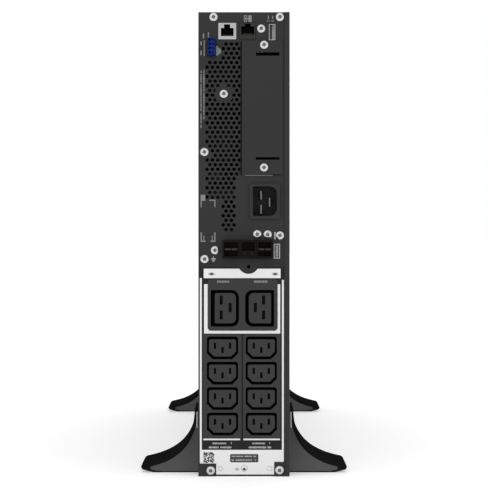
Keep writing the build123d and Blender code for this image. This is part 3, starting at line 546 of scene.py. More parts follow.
screwField = screwTree()
panHead = screwHead("panHead", screwLook)
flushHead = screwHead("flushHead", flushLook)
rearPlaces = [(x, panelY / mm - proud, z) for x, z, proud in rearScrewPlaces]
onChassis(growScrews("rearScrews", panHead, rearPlaces), "screw_plate", "rear_screws")
footStarts = [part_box(f"{end}_right_foot")[0].y / mm for end in ("rear", "front")]
sides = {"left": -1, "right": 1}
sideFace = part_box("side_cover")[1].x / mm
footScrewParts = []
footRows = [(start + step, footScrewHeight) for start in footStarts for step in footScrewSteps]
for side, sign in sides.items():
    places = [(sign * footSeat, y, z) for y, z in footRows]
    footScrewParts.append(growScrews(side + "FootScrews", panHead, places, sign * math.pi / 2))
    places = [(sign * sideFace, y, z) for y, z in flushScrewPlaces]
    onChassis(growScrews(side + "CoverScrews", flushHead, places, sign * math.pi / 2), "screw_plate")
onChassis(joined("footScrews", footScrewParts), "screw_plate", "foot_screws")
for maker in (panHead, flushHead):
    bpy.data.objects.remove(maker)
print("screws set")


faceAxes = {"rear": (1, -1), "front": (1, 1), "left": (0, -1), "right": (0, 1)}
inkThickness = 0.05


class Print:
    # thin raised ink on a flat face; shapes are drawn in millimetres across the face
    def __init__(self, name, finish, facing, surface):
        self.name = name
        self.finish = finish
        self.axis, self.sign = faceAxes[facing]
        self.surface = surface
        self.shape = bmesh.new()

    def corner(self, u, v, depth):
        place = [u, v]
        place.insert(self.axis, self.surface + self.sign * depth)
        return self.shape.verts.new([c * mm for c in place])

    def area(self, outline, hole=None):
        back = [self.corner(u, v, 0.0) for u, v in outline]
        front = [self.corner(u, v, inkThickness) for u, v in outline]
        bridge(self.shape, back, front)
        if hole is None:
            self.shape.faces.new(back)
            self.shape.faces.new(front)
            return
        innerBack = [self.corner(u, v, 0.0) for u, v in hole]
        innerFront = [self.corner(u, v, inkThickness) for u, v in hole]
        for first, second in ((innerBack, innerFront), (back, innerBack), (front, innerFront)):
            bridge(self.shape, first, second)

    def bars(self, *limits):
        for u, v in limits:
            self.area([(u[0], v[0]), (u[1], v[0]), (u[1], v[1]), (u[0], v[1])])

    def rounded(self, u, v, radius, hole=0.0):
        outline = roundedOutline(u, v, radius)
        if not hole:
            return self.area(outline)
        inner = (u[0] + hole, u[1] - hole), (v[0] + hole, v[1] - hole)
        self.area(outline, roundedOutline(*inner, max(0.05, radius - hole)))

    def oval(self, centre, radii, hole=0.0):
        outline = ovalOutline(centre, radii)
        self.area(outline, ovalOutline(centre, [r - hole for r in radii]) if hole else None)

    def done(self, slot="label_film", body="chassis"):
        return onBody(body, built(self.name, self.shape, self.finish), slot)


def ovalOutline(centre, radii, steps=28):
    turns = [math.tau * step / steps for step in range(steps)]
    return [(centre[0] + radii[0] * math.cos(turn), centre[1] + radii[1] * math.sin(turn)) for turn in turns]


def roundedOutline(u, v, radius, steps=5):
    middles = [(u[1] - radius, v[1] - radius), (u[0] + radius, v[1] - radius),
               (u[0] + radius, v[0] + radius), (u[1] - radius, v[0] + radius)]
    outline = []
    for quarter, middle in enumerate(middles):
        for step in range(steps + 1):
            turn = math.pi / 2 * (quarter + step / steps)
            outline.append((middle[0] + radius * math.cos(turn), middle[1] + radius * math.sin(turn)))
    return outline


def arcOutline(centre, radius, start, end, steps=14):
    turns = [math.radians(start + (end - start) * step / steps) for step in range(steps + 1)]
    return [(centre[0] + radius * math.cos(turn), centre[1] + radius * math.sin(turn)) for turn in turns]


def markTree():
    # rows of small blocks, some left out, as stand-ins for small print
    tree = Growth("markRows", {
        "Count": 12,
        "Step": (0.001, 0.0, 0.0),
        "Mark": (0.0007, 0.0001, 0.001),
        "Least": (0.6, 1.0, 0.75),
        "Kept": 0.85,
        "Seed": 1,
    })
    seed = tree.given("Seed")
    values = {"Count": tree.given("Count"), "Offset": tree.given("Step")}
    line = tree.add("GeometryNodeMeshLine", {"mode": "OFFSET"}, values)
    rows = tree.add("GeometryNodeInstanceOnPoints", {}, {"Points": tree.given("Geometry"), "Instance": line})
    spots = tree.add("GeometryNodeRealizeInstances", {}, {"Geometry": rows})
    values = {"Probability": tree.given("Kept"), "Seed": seed}
    kept = tree.add("FunctionNodeRandomValue", {"data_type": "BOOLEAN"}, values, out=3)
    block = tree.add("GeometryNodeMeshCube", {}, {"Size": tree.given("Mark")})
    values = {0: tree.given("Least"), 1: (1.0, 1.0, 1.0), "Seed": seed + 1}
    size = tree.add("FunctionNodeRandomValue", {"data_type": "FLOAT_VECTOR"}, values, out=0)
    values = {"Points": spots, "Selection": kept, "Instance": block, "Scale": size}
    tree.finish(tree.add("GeometryNodeInstanceOnPoints", {}, values))
    return tree


markRows = markTree()


def markField(name, finish, starts, count, step, mark, kept=0.85, seed=1, least=(0.6, 1.0, 0.75)):
    # starts, step and mark are in millimetres
    step = tuple(c * mm for c in step)
    mark = tuple(c * mm for c in mark)
    settings = {"Count": count, "Step": step, "Mark": mark, "Least": least, "Kept": kept, "Seed": seed}
    return markRows.grow(name, pointMesh(starts), Material=finish.material, **settings)


def solidField(name, finish, starts, count, step, mark):
    # a row with every block in place and full size
    return markField(name, finish, starts, count, step, mark, 1.0, 1, (1, 1, 1))


filmLook = {
    "left": (-41.1, -39.3),           # outer white line, x
    "right": (35.3, 37.1),
    "strip": ((-37.5, 34.0), (184.4, 193.2)),
    "frame": ((-37.2, 33.7), (132.8, 178.8)),
    "window": ((-33.8, 31.3), 135.5),  # its sides and foot
    "halves": ((-37.8, -3.6), (-0.5, 33.4)),
    "rules": (33.6, 35.1),
    "lines": (24.5, 184.5, 182.8),    # foot of both outer lines, then the top of each
    "block": [((-41.1, 37.1), (13.4, 24.6)), ((-41.1, 28.1), (11.9, 13.4)), ((-25.9, 28.1), (1.7, 11.9))],
    "corners": [(x, z) for x in ((-33.85, -31.6), (29.1, 31.35)) for z in ((135.45, 137.6), (176.8, 178.8))],
    "cornerSink": 0.25,               # how far the corners lie behind the connector face
    "code": (-37.2, 12.9, 0.83, 12),  # left, foot, cell and cells each way
    "sticker": ((-13.0, 13.4), (13.0, 20.7)),
    "seed": 11,
}
tabCentre, tabRadius = (4.2, 198.3), 9.9


def printFilm():
    look = filmLook
    film = filmY / mm
    white = Print("filmWhite", inkWhite, "rear", film)
    low, high = look["strip"][1]
    halfChord = math.degrees(math.asin((tabCentre[1] - high) / tabRadius))
    notch = arcOutline(tabCentre, tabRadius, 360 - halfChord, 180 + halfChord)
    left, right = look["strip"][0]
    white.area([(left, low), (right, low), (right, high), *notch, (left, high)])
    foot, leftTop, rightTop = look["lines"]
    white.bars((look["left"], (foot, leftTop)), (look["right"], (foot, rightTop)))
    (frameLeft, frameRight), frameHeight = look["frame"]
    (windowLeft, windowRight), windowLow = look["window"]
    white.bars(((frameLeft, windowLeft), frameHeight), ((windowRight, frameRight), frameHeight))
    white.bars(((windowLeft, windowRight), (frameHeight[0], windowLow)))
    white.bars(*[(limits, look["rules"]) for limits in look["halves"]])
    white.bars(*look["block"])
    white.done()
    # the same white shows in the module's rounded corners
    corners = Print("filmCorners", inkWhite, "rear", panelY / mm - look["cornerSink"])
    corners.bars(*look["corners"])
    corners.done()
    level = film - inkThickness
    grey = Print("filmGrey", inkPale, "rear", level)
    for x in (-30.2, 29.0):
        grey.oval((x, 188.3), (3.2, 1.5))
    grey.rounded((-23.6, -20.0), (5.0, 9.4), 1.2, 0.5)
    grey.oval((-6.4, 6.6), (2.0, 1.4))
    grey.oval((0.2, 7.4), (3.2, 3.2), 0.6)
    grey.rounded((21.0, 26.2), (5.2, 9.6), 1.6, 0.5)
    grey.done()
    dark = Print("filmDark", inkSoft, "rear", level)
    dark.rounded(*look["sticker"], 1.2)
    dark.oval((0.2, 6.6), (1.5, 1.3))
    dark.oval((-30.2, 188.3), (1.7, 0.8))
    dark.oval((29.0, 188.2), (1.7, 0.8))
    dark.done()
    seed = look["seed"]
    upper, lower = [(-28.7, film, 30.6), (7.2, film, 30.6)], [(-32.2, film, 26.9), (4.8, film, 26.9)]
    sticker = [(-11.0, level - inkThickness, height) for height in (18.6, 15.1)]
    ticks = [(-11.8, film, 30.9), (23.9, film, 30.9)]
    parts = [
        markField("upperRows", inkPale, upper, 13, (1.08, 0, 0), (0.95, 0.1, 1.7), 0.9, seed),
        markField("lowerRows", inkPale, lower, 18, (1.18, 0, 0), (1.05, 0.1, 1.9), 0.86, seed + 1),
        markField("tickMarks", inkPale, ticks, 1, (1, 0, 0), (0.7, 0.1, 2.2), 1.0),
        markField("stickerRows", inkPale, sticker, 19, (1.2, 0, 0), (1.1, 0.1, 1.2), 0.88, seed + 2),
    ]
    onChassis(joined("filmMarks", parts), "label_film")
    left, foot, cell, cells = look["code"]
    starts = [(left, level, foot + row * cell) for row in range(cells)]
    size = (cell, 0.1, cell)
    code = markField("filmCode", inkDark, starts, cells, (cell, 0, 0), size, 0.64, seed + 3, (1, 1, 1))
    onChassis(code, "label_film")
    rows = [(x, panelY / mm - 1.0, 181.2) for x in (-25.8, 9.7)]
    names = markField("moduleMarks", inkGrey, rows, 9, (1.42, 0, 0), (1.4, 0.1, 2.3), 0.94, seed + 4)
    onChassis(names, "label_film")


printFilm()
print("film printed")


panelMarks = {
    "columns": [(-40.0, 324.6, 51), (-37.3, 332.6, 44)],   # x, lowest z, marks in the column
    "columnStep": 1.05,
    "plugBars": [                     # round the blue plug
        ((-33.7, -32.6), (408.3, 413.3)), ((-37.6, -36.4), (391.4, 405.8)), ((-40.6, -39.2), (401.2, 404.8)),
        ((-40.6, -39.2), (392.0, 396.2)), ((-38.4, -37.0), (407.6, 412.0)),
    ],
    "plugArrow": [
        (-26.0, 400.0), (-25.2, 400.4), (-21.4, 397.2), (-21.2, 394.4), (-25.2, 391.4), (-26.0, 392.0),
    ],
    "earth": (-28.5, [(4.6, 202.4), (3.0, 201.2), (1.4, 200.0)], 0.35),   # middle, bars, half thickness
    "bracket": [((0, 4.6), (218.2, 219.3)), ((0, 1.2), (219.3, 227.0)), ((2.6, 3.4), (219.3, 224.0)),
                ((0, 1.0), (250.4, 256.4))],
    "brackets": [(-40.4, 1), (-26.6, -1)],
    "cover": {"edge": (3.0, 26.4), "notch": (26.8, 33.8), "shadowWidth": 1.5},
    "seed": 23,
}


def printPanel():
    look = panelMarks
    face = panelY / mm
    grey = Print("panelIcons", inkGrey, "rear", face)
    # two sockets joined by a line
    grey.rounded((-0.1, 2.9), (422.9, 429.2), 0.5, 0.7)
    grey.bars(((0.9, 1.9), (424.6, 427.4)), ((2.9, 4.1), (425.4, 426.3)))
    grey.rounded((4.1, 7.1), (422.9, 429.2), 0.5)
    # a small plug symbol beside the upright port
    for x in (22.6, 26.6):
        grey.bars(((x - 0.45, x + 0.45), (424.0, 428.7)))
        grey.area([(x - 1.4, 423.5), (x + 1.4, 423.5), (x, 425.8)])
    grey.bars(*look["plugBars"])
    grey.area(look["plugArrow"])
    grey.done()
    pale = Print("panelPale", inkPale, "rear", face)
    pale.bars(((28.1, 29.5), (220.6, 227.4)))
    # small earth sign beside the lower left screw
    middle, steps, half = look["earth"]
    for width, height in steps:
        pale.bars(((middle - width / 2, middle + width / 2), (height - half, height + half)))
    pale.bars(((middle - 0.3, middle + 0.3), (202.6, 204.6)))
    # the sticker at the right of the battery port
    pale.rounded((27.7, 33.5), (202.7, 216.4), 0.4, 0.8)
    pale.bars(((29.6, 30.4), (204.5, 214.8)), ((31.0, 31.7), (204.5, 214.8)))
    pale.done()
    corners = Print("panelCorners", inkGrey, "rear", face)
    for x, turn in look["brackets"]:
        corners.bars(*[(sorted((x + turn * near, x + turn * far)), z) for (near, far), z in look["bracket"]])
    corners.bars(((-40.4, -36.0), (256.4, 262.0)), ((-32.4, -26.6), (256.4, 257.5)))
    corners.done()
    parts, step = [], (0, 0, look["columnStep"])
    for index, (x, low, count) in enumerate(look["columns"]):
        start, seed = [(x, face, low)], look["seed"] + index
        parts.append(markField("column", inkGrey, start, count, step, (1.35, 0.1, 1.0), 0.93, seed))
    onChassis(joined("panelColumns", parts), "label_film")


def edgeCover():
    # a light strip painted as the highlight on the slot cover's lower edge, a black box painted as the shade
    # in the slit beside it, and a black strip painted as the shadow gap along its left side
    look = panelMarks["cover"]
    low, high = (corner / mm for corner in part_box("slot_cover"))
    face = panelY / mm
    inset, end = look["edge"]
    # a light grey strip painted as the highlight on the cover's lower edge
    edge = (low.x + inset, end), (low.y - 0.05, face - 0.1), (low.z - 0.35, low.z + 0.1)
    onChassis(boxes("coverEdge", edgeHighlight, edge), "bare_steel")
    # a black strip painted as the shadow gap along the cover's left side
    shadowWidth = (low.x - look["shadowWidth"], low.x - 0.05), (face - 0.5, face), (low.z + 0.6, high.z - 0.6)
    onChassis(boxes("coverGasket", shadowBlack, shadowWidth), "black_plastic")
    # a black box painted as the shade inside the slit at the cover's lower right
    notch = look["notch"], (low.y - 0.04, low.y + 0.4), (low.z + 0.3, low.z + 1.1)
    onChassis(boxes("coverNotch", shadowBlack, notch), "black_plastic")


printPanel()
edgeCover()
print("panel printed")


jackLook = {
    "network": {"x": (-21.5, -9.7), "z": (409.6, 417.2), "latch": ((-18.6, -12.9), 420.6), "pins": -19.35},
    "serial": {"x": (-2.6, 9.5), "z": (410.9, 418.6), "latch": ((0.7, 6.2), 421.3), "pins": -0.75},
    "depth": (-306.75, -293.9),
    "liner": 0.12,
    "pinStep": 1.13,
    "pin": (0.62, 10.4, 1.45),
    "pinY": -299.0,
    "pinRise": 0.85,
}


def lineJack(name):
    # black insulator skin inside the cavity: walls, floor, ceiling, latch notch and back
    look, depth, skin = jackLook[name], jackLook["depth"], jackLook["liner"]
    (left, right), (low, high) = look["x"], look["z"]
    (latchLeft, latchRight), latchHigh = look["latch"]
    sides = [
        ((left, left + skin), (low, high)),
        ((right - skin, right), (low, high)),
        ((left, right), (low, low + skin)),
        ((left, latchLeft), (high - skin, high)),
        ((latchRight, right), (high - skin, high)),
        ((latchLeft, latchLeft + skin), (high, latchHigh)),
        ((latchRight - skin, latchRight), (high, latchHigh)),
        ((latchLeft, latchRight), (latchHigh - skin, latchHigh)),
    ]
    back = (left, right), (depth[1] - skin, depth[1]), (low, latchHigh)
    liner = boxes(name + "Liner", linerBlack, *[(x, depth, z) for x, z in sides], back)
    onChassis(liner, "black_plastic")
    # sprung gold wires along the floor
    starts = [(look["pins"], jackLook["pinY"], low + jackLook["pinRise"])]
    step = (jackLook["pinStep"], 0, 0)
    onChassis(solidField(name + "Pins", dimGold, starts, 8, step, jackLook["pin"]), "plated_brass")


portLook = {
    "usbTongue": ((24.15, 26.25), (-305.4, -294.2), (407.5, 419.1)),
    "usbPad": (0.12, 8.6, 1.3),
    "usbPads": (26.27, -300.2, 409.2),     # the lowest pad
    "clampX": (-32.75, -30.65),
    "clampY": (-313.0, -308.05),
    "clampStep": 3.9,
    "bladeSections": (-11.9, 19.25),       # middles of the two power sections
    "bladeOffset": 3.2,
    "bladeWidth": 5.5,
    "bladeZ": (210.35, 212.25),
    "bladeBack": -300.2,
    "sleeves": (0.45, 7.25),
    "sleeveHeight": 207.4,
    "sleeve": [(1.15, 0.0), (1.15, 0.5), (0.7, 0.5), (0.7, 0.0)],
}


def usbTongue():
    look = portLook
    tongue = boxes("usbTongue", glossBlack, look["usbTongue"])
    onChassis(softEdges(tongue, 0.15), "black_plastic")
    pads = solidField("usbPads", goldContact, [look["usbPads"]], 4, (0, 0, 2.7), look["usbPad"])
    onChassis(pads, "plated_brass")


def epoClamps():
    # flat clamp screws down in the plug's round wells, coloured with a painted shade of the plug's blue
    look = portLook
    low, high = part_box("epo_plug")
    middle = (low.z + high.z) / 2 / mm
    heights = [middle + (index - 1.5) * look["clampStep"] for index in range(4)]
    clamps = [(look["clampX"], look["clampY"], (height - 1.1, height + 1.1)) for height in heights]
    onBody("terminal_plug", boxes("epoClamps", epoShade, *clamps), "blue_plastic")


def portContacts():
    # bronze blades in the two power sections, and pin sleeves in the middle one
    look = portLook
    front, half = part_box("battery_port")[0].y / mm, look["bladeWidth"] / 2
    middles = [centre + side * look["bladeOffset"] for centre in look["bladeSections"] for side in (-1, 1)]
    depth = (front + 2.3, look["bladeBack"])
    blades = [((middle - half, middle + half), depth, look["bladeZ"]) for middle in middles]
    onChassis(softEdges(boxes("portBlades", bronzeBlade, *blades), 0.2), "plated_brass")
    sleeves = bmesh.new()
    for x in look["sleeves"]:
        turned(sleeves, look["sleeve"], 20, 1, (x, front + 3.0, look["sleeveHeight"]), -1, True)
    onChassis(built("portSleeves", sleeves, bronzeBlade), "plated_brass")


for jack in ("network", "serial"):
    lineJack(jack)
usbTongue()
epoClamps()
portContacts()
print("sockets lined")


footLook = {
    "skin": ((46.7, 60.4), (47.0, 28.0), (66.0, 14.0), (94.0, 8.5)),     # outer curve
    "tip": ((94.0, 8.5), (98.9, 7.4), (98.4, 2.6), (94.0, 2.2)),
    "web": ((44.6, 56.6), (45.3, 25.6), (64.6, 10.8), (87.5, 5.8)),      # edge of the sunk end face
    "webTip": ((87.5, 5.8), (89.4, 5.3), (89.2, 2.6), (87.5, 2.2)),
    "heel": 86.0,                     # where each outline meets the ground
    "webHeel": 82.0,
    "webInset": (0.7, 1.0),           # from the body, and up from the ground
    "sink": 0.7,
    "curveSteps": 24,
    "tipSteps": 8,
    "seat": (4.5, 14.0),              # radius and length of each screw seat
    "edge": 0.35,
    "strapX": (1.3, 2.5),             # steel strap, out from the body
    "strapZ": (42.0, 57.5),
    "strapOver": 0.5,
}


def bezierPoints(control, steps):
    a, b, c, d = (Vector(point) for point in control)
    points = []
    for step in range(steps + 1):
        t = step / steps
        points.append(a * (1 - t) ** 3 + b * 3 * t * (1 - t) ** 2 + c * 3 * t * t * (1 - t) + d * t**3)
    return points


def footOutline(curve, tip):
    look = footLook
    return bezierPoints(look[curve], look["curveSteps"]) + bezierPoints(look[tip], look["tipSteps"])[1:]


def stabiliserFoot(end, side, start):
    look = footLook
    sign = sides[side]
    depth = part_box(f"{end}_{side}_foot")[1].y / mm - start
    inset, lift = look["webInset"]
    rim = [(sideFace, look["skin"][0][1]), *footOutline("skin", "tip"), (look["heel"], 0.0), (sideFace, 0.0)]
    web = [(sideFace + inset, look["web"][0][1]), *footOutline("web", "webTip")]
    web += [(look["webHeel"], lift), (sideFace + inset, lift)]
    sink = look["sink"]
    layers = [(web, sink), (web, 0.0), (rim, 0.0), (rim, depth), (web, depth), (web, depth - sink)]
    shape = bmesh.new()
    rings = []
    for outline, y in layers:
        rings.append([shape.verts.new((sign * x * mm, (start + y) * mm, z * mm)) for x, z in outline])
    for first, second in zip(rings, rings[1:]):
        bridge(shape, first, second)
    for cap in (rings[0], rings[-1]):
        shape.faces.new(cap).material_index = 1
    foot = built(f"{end}{side.title()}Foot", shape, footSkin, footWeb)
    softEdges(foot, look["edge"], 2, 50)
    radius, length = look["seat"]
    for step in footScrewSteps:
        seat = bmesh.new()
        profile = [(0, 0), (radius, 0), (radius, length), (0, length)]
        turned(seat, profile, 32, 0, (sign * footSeat, start + step, footScrewHeight), sign)
        cut(foot, built("seat", seat))
    onChassis(smoothBy(foot, 38), "foot_plastic", f"{end}_{side}_foot")
    # the steel strap whose ends show beside the body
    over = look["strapOver"]
    x = sorted(sign * (sideFace + out) for out in look["strapX"])
    strap = x, (start - over, start + depth + over), look["strapZ"]
    strapPiece = boxes(f"{end}{side.title()}Strap", steelPlate, strap)
    onChassis(softEdges(strapPiece, 0.3), "bare_steel")


for end, start in zip(("rear", "front"), footStarts):
    for side in sides:
        stabiliserFoot(end, side, start)
print("feet made")


frontLook = {
    "screenX": (-34.6, 34.6),
    "screenZ": (24.6, 327.8),
    "screenY": 314.9,
    "pitch": 1.6,
    "wire": 0.26,
    "dial": (0.0, 384.0),        # centre of the round display
    "dialRing": (34.6, 0.5),
    "gauge": (384.0, 3.9, 2.6),  # lowest bar, step and height
    "power": (0.0, 357.5),
    "arrowHeight": 370.5,
}


def dustScreen():
    look = frontLook
    (left, right), (low, high) = look["screenX"], look["screenZ"]
    pitch, wire, depth = look["pitch"], look["wire"], look["screenY"]
    uprights, rungs = int((right - left) / pitch) + 1, int((high - low) / pitch) + 1
    upright, rung = (wire, wire, high - low), (right - left, wire, wire)
    across, up = [(left, depth, (low + high) / 2)], [(0, depth - wire, low)]
    parts = [
        solidField("uprights", screenWire, across, uprights, (pitch, 0, 0), upright),
        solidField("rungs", screenWire, up, rungs, (0, 0, pitch), rung),
    ]
    onBody("bezel", joined("dustScreen", parts), "bezel_plastic")


def printDisplay():
    look = frontLook
    ring = Print("displayRing", inkGrey, "front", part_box("display_housing")[1].y / mm)
    radius, width = look["dialRing"]
    ring.oval(look["dial"], (radius, radius), width)
    ring.done(body="display")
    lit = Print("screenMarks", screenLit, "front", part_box("display_lens")[1].y / mm)
    lowest, step, height = look["gauge"]
    for side, count in ((-1, 5), (1, 3)):
        for index in range(count):
            foot = lowest + index * step
            lit.bars((sorted((side * 12.6, side * (15.6 + index * 0.9))), (foot, foot + height)))
    # a battery, a house, a line and a socket
    lit.rounded((-9.0, 9.0), (394.6, 402.6), 1.0, 0.5)
    lit.rounded((-7.6, 3.2), (396.0, 401.2), 0.5)
    lit.area([(-9.0, 387.2), (-6.4, 389.6), (-3.8, 387.2), (-3.8, 384.0), (-9.0, 384.0)])
    lit.bars(((-2.6, 2.2), (385.9, 386.7)))
    lit.rounded((3.4, 9.0), (384.0, 389.2), 0.8, 0.6)
    lit.done(body="display")


def printButtons():
    look = frontLook
    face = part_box("button_power")[1].y / mm
    power = Print("powerIcon", inkWhite, "front", face)
    centre = look["power"]
    power.area(arcOutline(centre, 2.3, 120, 420, 24) + arcOutline(centre, 1.75, 420, 120, 24))
    power.bars(((-0.28, 0.28), (357.9, 360.4)))
    power.done(body="power_button")
    level = look["arrowHeight"]
    for body, middle, tip in (("up_button", -18.0, 1), ("down_button", 0.0, -1)):
        arrow = Print(body.replace("_b", "B") + "Icon", inkWhite, "front", face)
        arrow.area([(middle - 1.8, level - tip), (middle + 1.8, level - tip), (middle, level + tip * 1.7)])
        arrow.done(body=body)
    enter = Print("enterIcon", inkWhite, "front", face)
    enter.area([(16.2, 370.2), (17.7, 368.9), (17.7, 369.9), (20.0, 369.9), (20.0, 372.2), (19.4, 372.2),
                (19.4, 370.5), (17.7, 370.5), (17.7, 371.5)])
    enter.done(body="enter_button")


screenWire = mouldedPlastic("screenWire", (0.02, 0.02, 0.02), 0.5)
screenLit = Finish("screenLit", (0.05, 0.3, 0.4), 0.4)
screenLit.set("Emission Color", (0.18, 0.62, 0.85, 1.0)).set("Emission Strength", 0.5)
dustScreen()
printDisplay()
printButtons()
print("front dressed")


packLook = {
    "label": ((14.0, 76.0), (28.0, 78.0)),    # on each block: along it, and up from its foot
    "rowInset": 6.0,
    "rowHeights": (36.0, 43.0, 50.0),
    "barHeight": 66.0,
    "seam": (1.0, 89.0),
    "lid": 89.0,
    "pitch": 91.4,                            # from one block to the next
    "tabLine": 8.4,                           # terminals, from the rear of each block
    "tabs": 24.0,                             # terminals, off the middle line
    "caseHeight": 101.0,
    "boot": (7.6, 4.4, 6.0),
    "wireRadius": 1.3,
    "wireRise": 2.8,
    "wireGrip": 0.6,                          # how far each end goes into its boot
    "wireBend": 60.0,
    "wireSteps": 18,
}


def tube(shape, points, radius, sides=10):
    # a capped round tube along points that all lie near one level
    rings = []
    for index, point in enumerate(points):
        along = points[min(index + 1, len(points) - 1)] - points[max(index - 1, 0)]
        across = Vector((0, 0, 1)).cross(along).normalized()
        up = along.cross(across).normalized()
        turns = [math.tau * step / sides for step in range(sides)]
        ring = [point + (across * math.cos(turn) + up * math.sin(turn)) * radius for turn in turns]
        rings.append([shape.verts.new(corner * mm) for corner in ring])
    for first, second in zip(rings, rings[1:]):
        bridge(shape, first, second)
    shape.faces.new(rings[0])
    shape.faces.new(rings[-1])


def labelBlocks(corners):
    look = packLook
    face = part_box("battery_block_1")[1].x / mm
    (near, far), (foot, head) = look["label"]
    labels = Print("blockLabels", inkPale, "right", face)
    seams = Print("blockSeams", inkSoft, "right", face)
    for corner in corners:
        labels.rounded((corner.y + near, corner.y + far), (corner.z + foot, corner.z + head), 3.0)
        lid = corner.z + look["lid"]
        seams.bars(([corner.y + end for end in look["seam"]], (lid, lid + 0.5)))
    labels.done("label_film", "cartridge")
    seams.done("label_film", "cartridge")
    level, start = face + inkThickness, near + look["rowInset"]
    rows = [
        (level, corner.y + start, corner.z + height)
        for corner in corners for height in look["rowHeights"]
    ]
    bars = [(level, corner.y + start, corner.z + look["barHeight"]) for corner in corners]
    parts = [
        markField("blockRows", inkDark, rows, 20, (0, 2.6, 0), (0.08, 2.1, 2.6), 0.85, 31),
        markField("blockBars", inkDark, bars, 44, (0, 1.15, 0), (0.08, 0.62, 9.0), 0.7, 32, (0.4, 1, 1)),
    ]
    onBody("cartridge", joined("blockMarks", parts), "label_film")


def wireBlocks(corners):
    # a boot on every terminal, and a link from each block to the next in its row
    look = packLook
    tabs, boot = look["tabs"], look["boot"]
    height = look["caseHeight"] + boot[2] / 2 + 0.1
    for side, name, finish in ((1, "plusBoots", bootRed), (-1, "minusBoots", bootBlack)):
        starts = [(side * tabs, corner.y + look["tabLine"], corner.z + height) for corner in corners]
        boots = solidField(name, finish, starts, 1, (1, 0, 0), boot)
        onBody("cartridge", softEdges(boots, 0.6), "black_plastic")
    links = bmesh.new()
    reach, bend = boot[1] / 2 - look["wireGrip"], look["wireBend"]
    for corner in corners[:3] + corners[4:7]:
        level = corner.z + look["caseHeight"] + look["wireRise"]
        start = corner.y + look["tabLine"] + reach
        end = corner.y + look["pitch"] + look["tabLine"] - reach
        control = ((tabs, start), (tabs, start + bend), (-tabs, end - bend), (-tabs, end))
        path = [Vector((x, y, level)) for x, y in bezierPoints(control, look["wireSteps"])]
        tube(links, path, look["wireRadius"])
    wires = built("blockLinks", links, bootBlack)
    onBody("cartridge", smoothBy(wires, 50), "black_plastic")


doorLook = {
    "frame": ((-26.0, 26.0), (186.0, 214.0)),
    "arrow": [(-21.0, 197.5), (-14.0, 197.5), (-14.0, 193.5), (-7.5, 200.0), (-14.0, 206.5), (-14.0, 202.5),
              (-21.0, 202.5)],
    "rows": (205.0, 200.0, 195.0),
}


def printDoor():
    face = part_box("battery_door")[1].y / mm
    marks = Print("doorMarks", inkGrey, "front", face)
    marks.rounded(*doorLook["frame"], 3.0, 0.8)
    marks.area(doorLook["arrow"])
    marks.done("label_film", "door")
    starts = [(-3.0, face, height) for height in doorLook["rows"]]
    rows = markField("doorRows", inkGrey, starts, 12, (2.1, 0, 0), (1.7, 0.08, 2.2), 0.85, 33)
    onBody("door", rows, "label_film")


bootRed = mouldedPlastic("bootRed", (0.28, 0.012, 0.01), 0.45)
bootBlack = mouldedPlastic("bootBlack", (0.012, 0.012, 0.012), 0.45)
blockCorners = [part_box(f"battery_block_{number}")[0] / mm for number in range(1, 9)]
labelBlocks(blockCorners)
wireBlocks(blockCorners)
printDoor()
print("battery pack dressed")


coilLook = {
    "centres": [(y, z) for z in (314.0, 376.0) for y in (-219.5, -157.5)],
    "middle": -20.4,
    "core": (12.6, 24.4, 10.6),       # inner and outer radius, half thickness
    "turns": 54,
    "loop": (22.7, 13.7, 2.4),        # width, height and corner of one turn
    "loopRadius": 18.5,
    "wire": 0.6,
}


def windingTree():
    tree = Growth("winding", {
        "Turns": 54, "Width": 0.0227, "Height": 0.0137,
        "Corner": 0.0024, "Middle": 0.0185, "Wire": 0.0006,
    })
    values = {"Width": tree.given("Width"), "Height": tree.given("Height")}
    outline = tree.add("GeometryNodeCurvePrimitiveQuadrilateral", {}, values)
    values = {"Curve": outline, "Radius": tree.given("Corner"), "Count": 4}
    outline = tree.add("GeometryNodeFilletCurve", {"mode": "POLY"}, values)
    values = {"Resolution": 6, "Radius": tree.given("Wire")}
    section = tree.add("GeometryNodeCurvePrimitiveCircle", {}, values)
    values = {"Curve": outline, "Profile Curve": section}
    loop = tree.add("GeometryNodeCurveToMesh", {}, values)
    place = tree.add("ShaderNodeCombineXYZ", {}, {"Z": tree.given("Middle")})
    values = {"Geometry": loop, "Translation": place, "Rotation": (math.pi / 2, 0.0, 0.0)}
    loop = tree.add("GeometryNodeTransform", {}, values)
    turns = tree.given("Turns")
    values = {"Count": turns, "Offset": (0.0, 0.0, 0.0)}
    stations = tree.add("GeometryNodeMeshLine", {"mode": "OFFSET"}, values)
    angle = tree.add("GeometryNodeInputIndex") * math.tau / turns
    turn = tree.add("ShaderNodeCombineXYZ", {}, {"X": angle})
    values = {"Points": stations, "Instance": loop, "Rotation": turn}
    coil = tree.add("GeometryNodeInstanceOnPoints", {}, values)
    values = {"Points": tree.given("Geometry"), "Instance": coil}
    tree.finish(tree.add("GeometryNodeInstanceOnPoints", {}, values))
    return tree


def windCoils():
    look = coilLook
    width, height, corner = (value * mm for value in look["loop"])
    settings = {"Turns": look["turns"], "Width": width, "Height": height, "Corner": corner}
    settings.update({"Middle": look["loopRadius"] * mm, "Wire": look["wire"] * mm})
    places = [(look["middle"], y, z) for y, z in look["centres"]]
    coils = windingTree().grow("coils", pointMesh(places), Material=copperWire.material, **settings)
    onChassis(smoothBy(coils, 50), "copper_winding", "inductors")
    inner, outer, half = look["core"]
    profile = [(inner, -half), (outer, -half), (outer, half), (inner, half)]
    cores = bmesh.new()
    for place in places:
        turned(cores, profile, 48, 0, place, closed=True)
    onChassis(smoothBy(built("coilCores", cores, coreShade), 40), "core_steel")


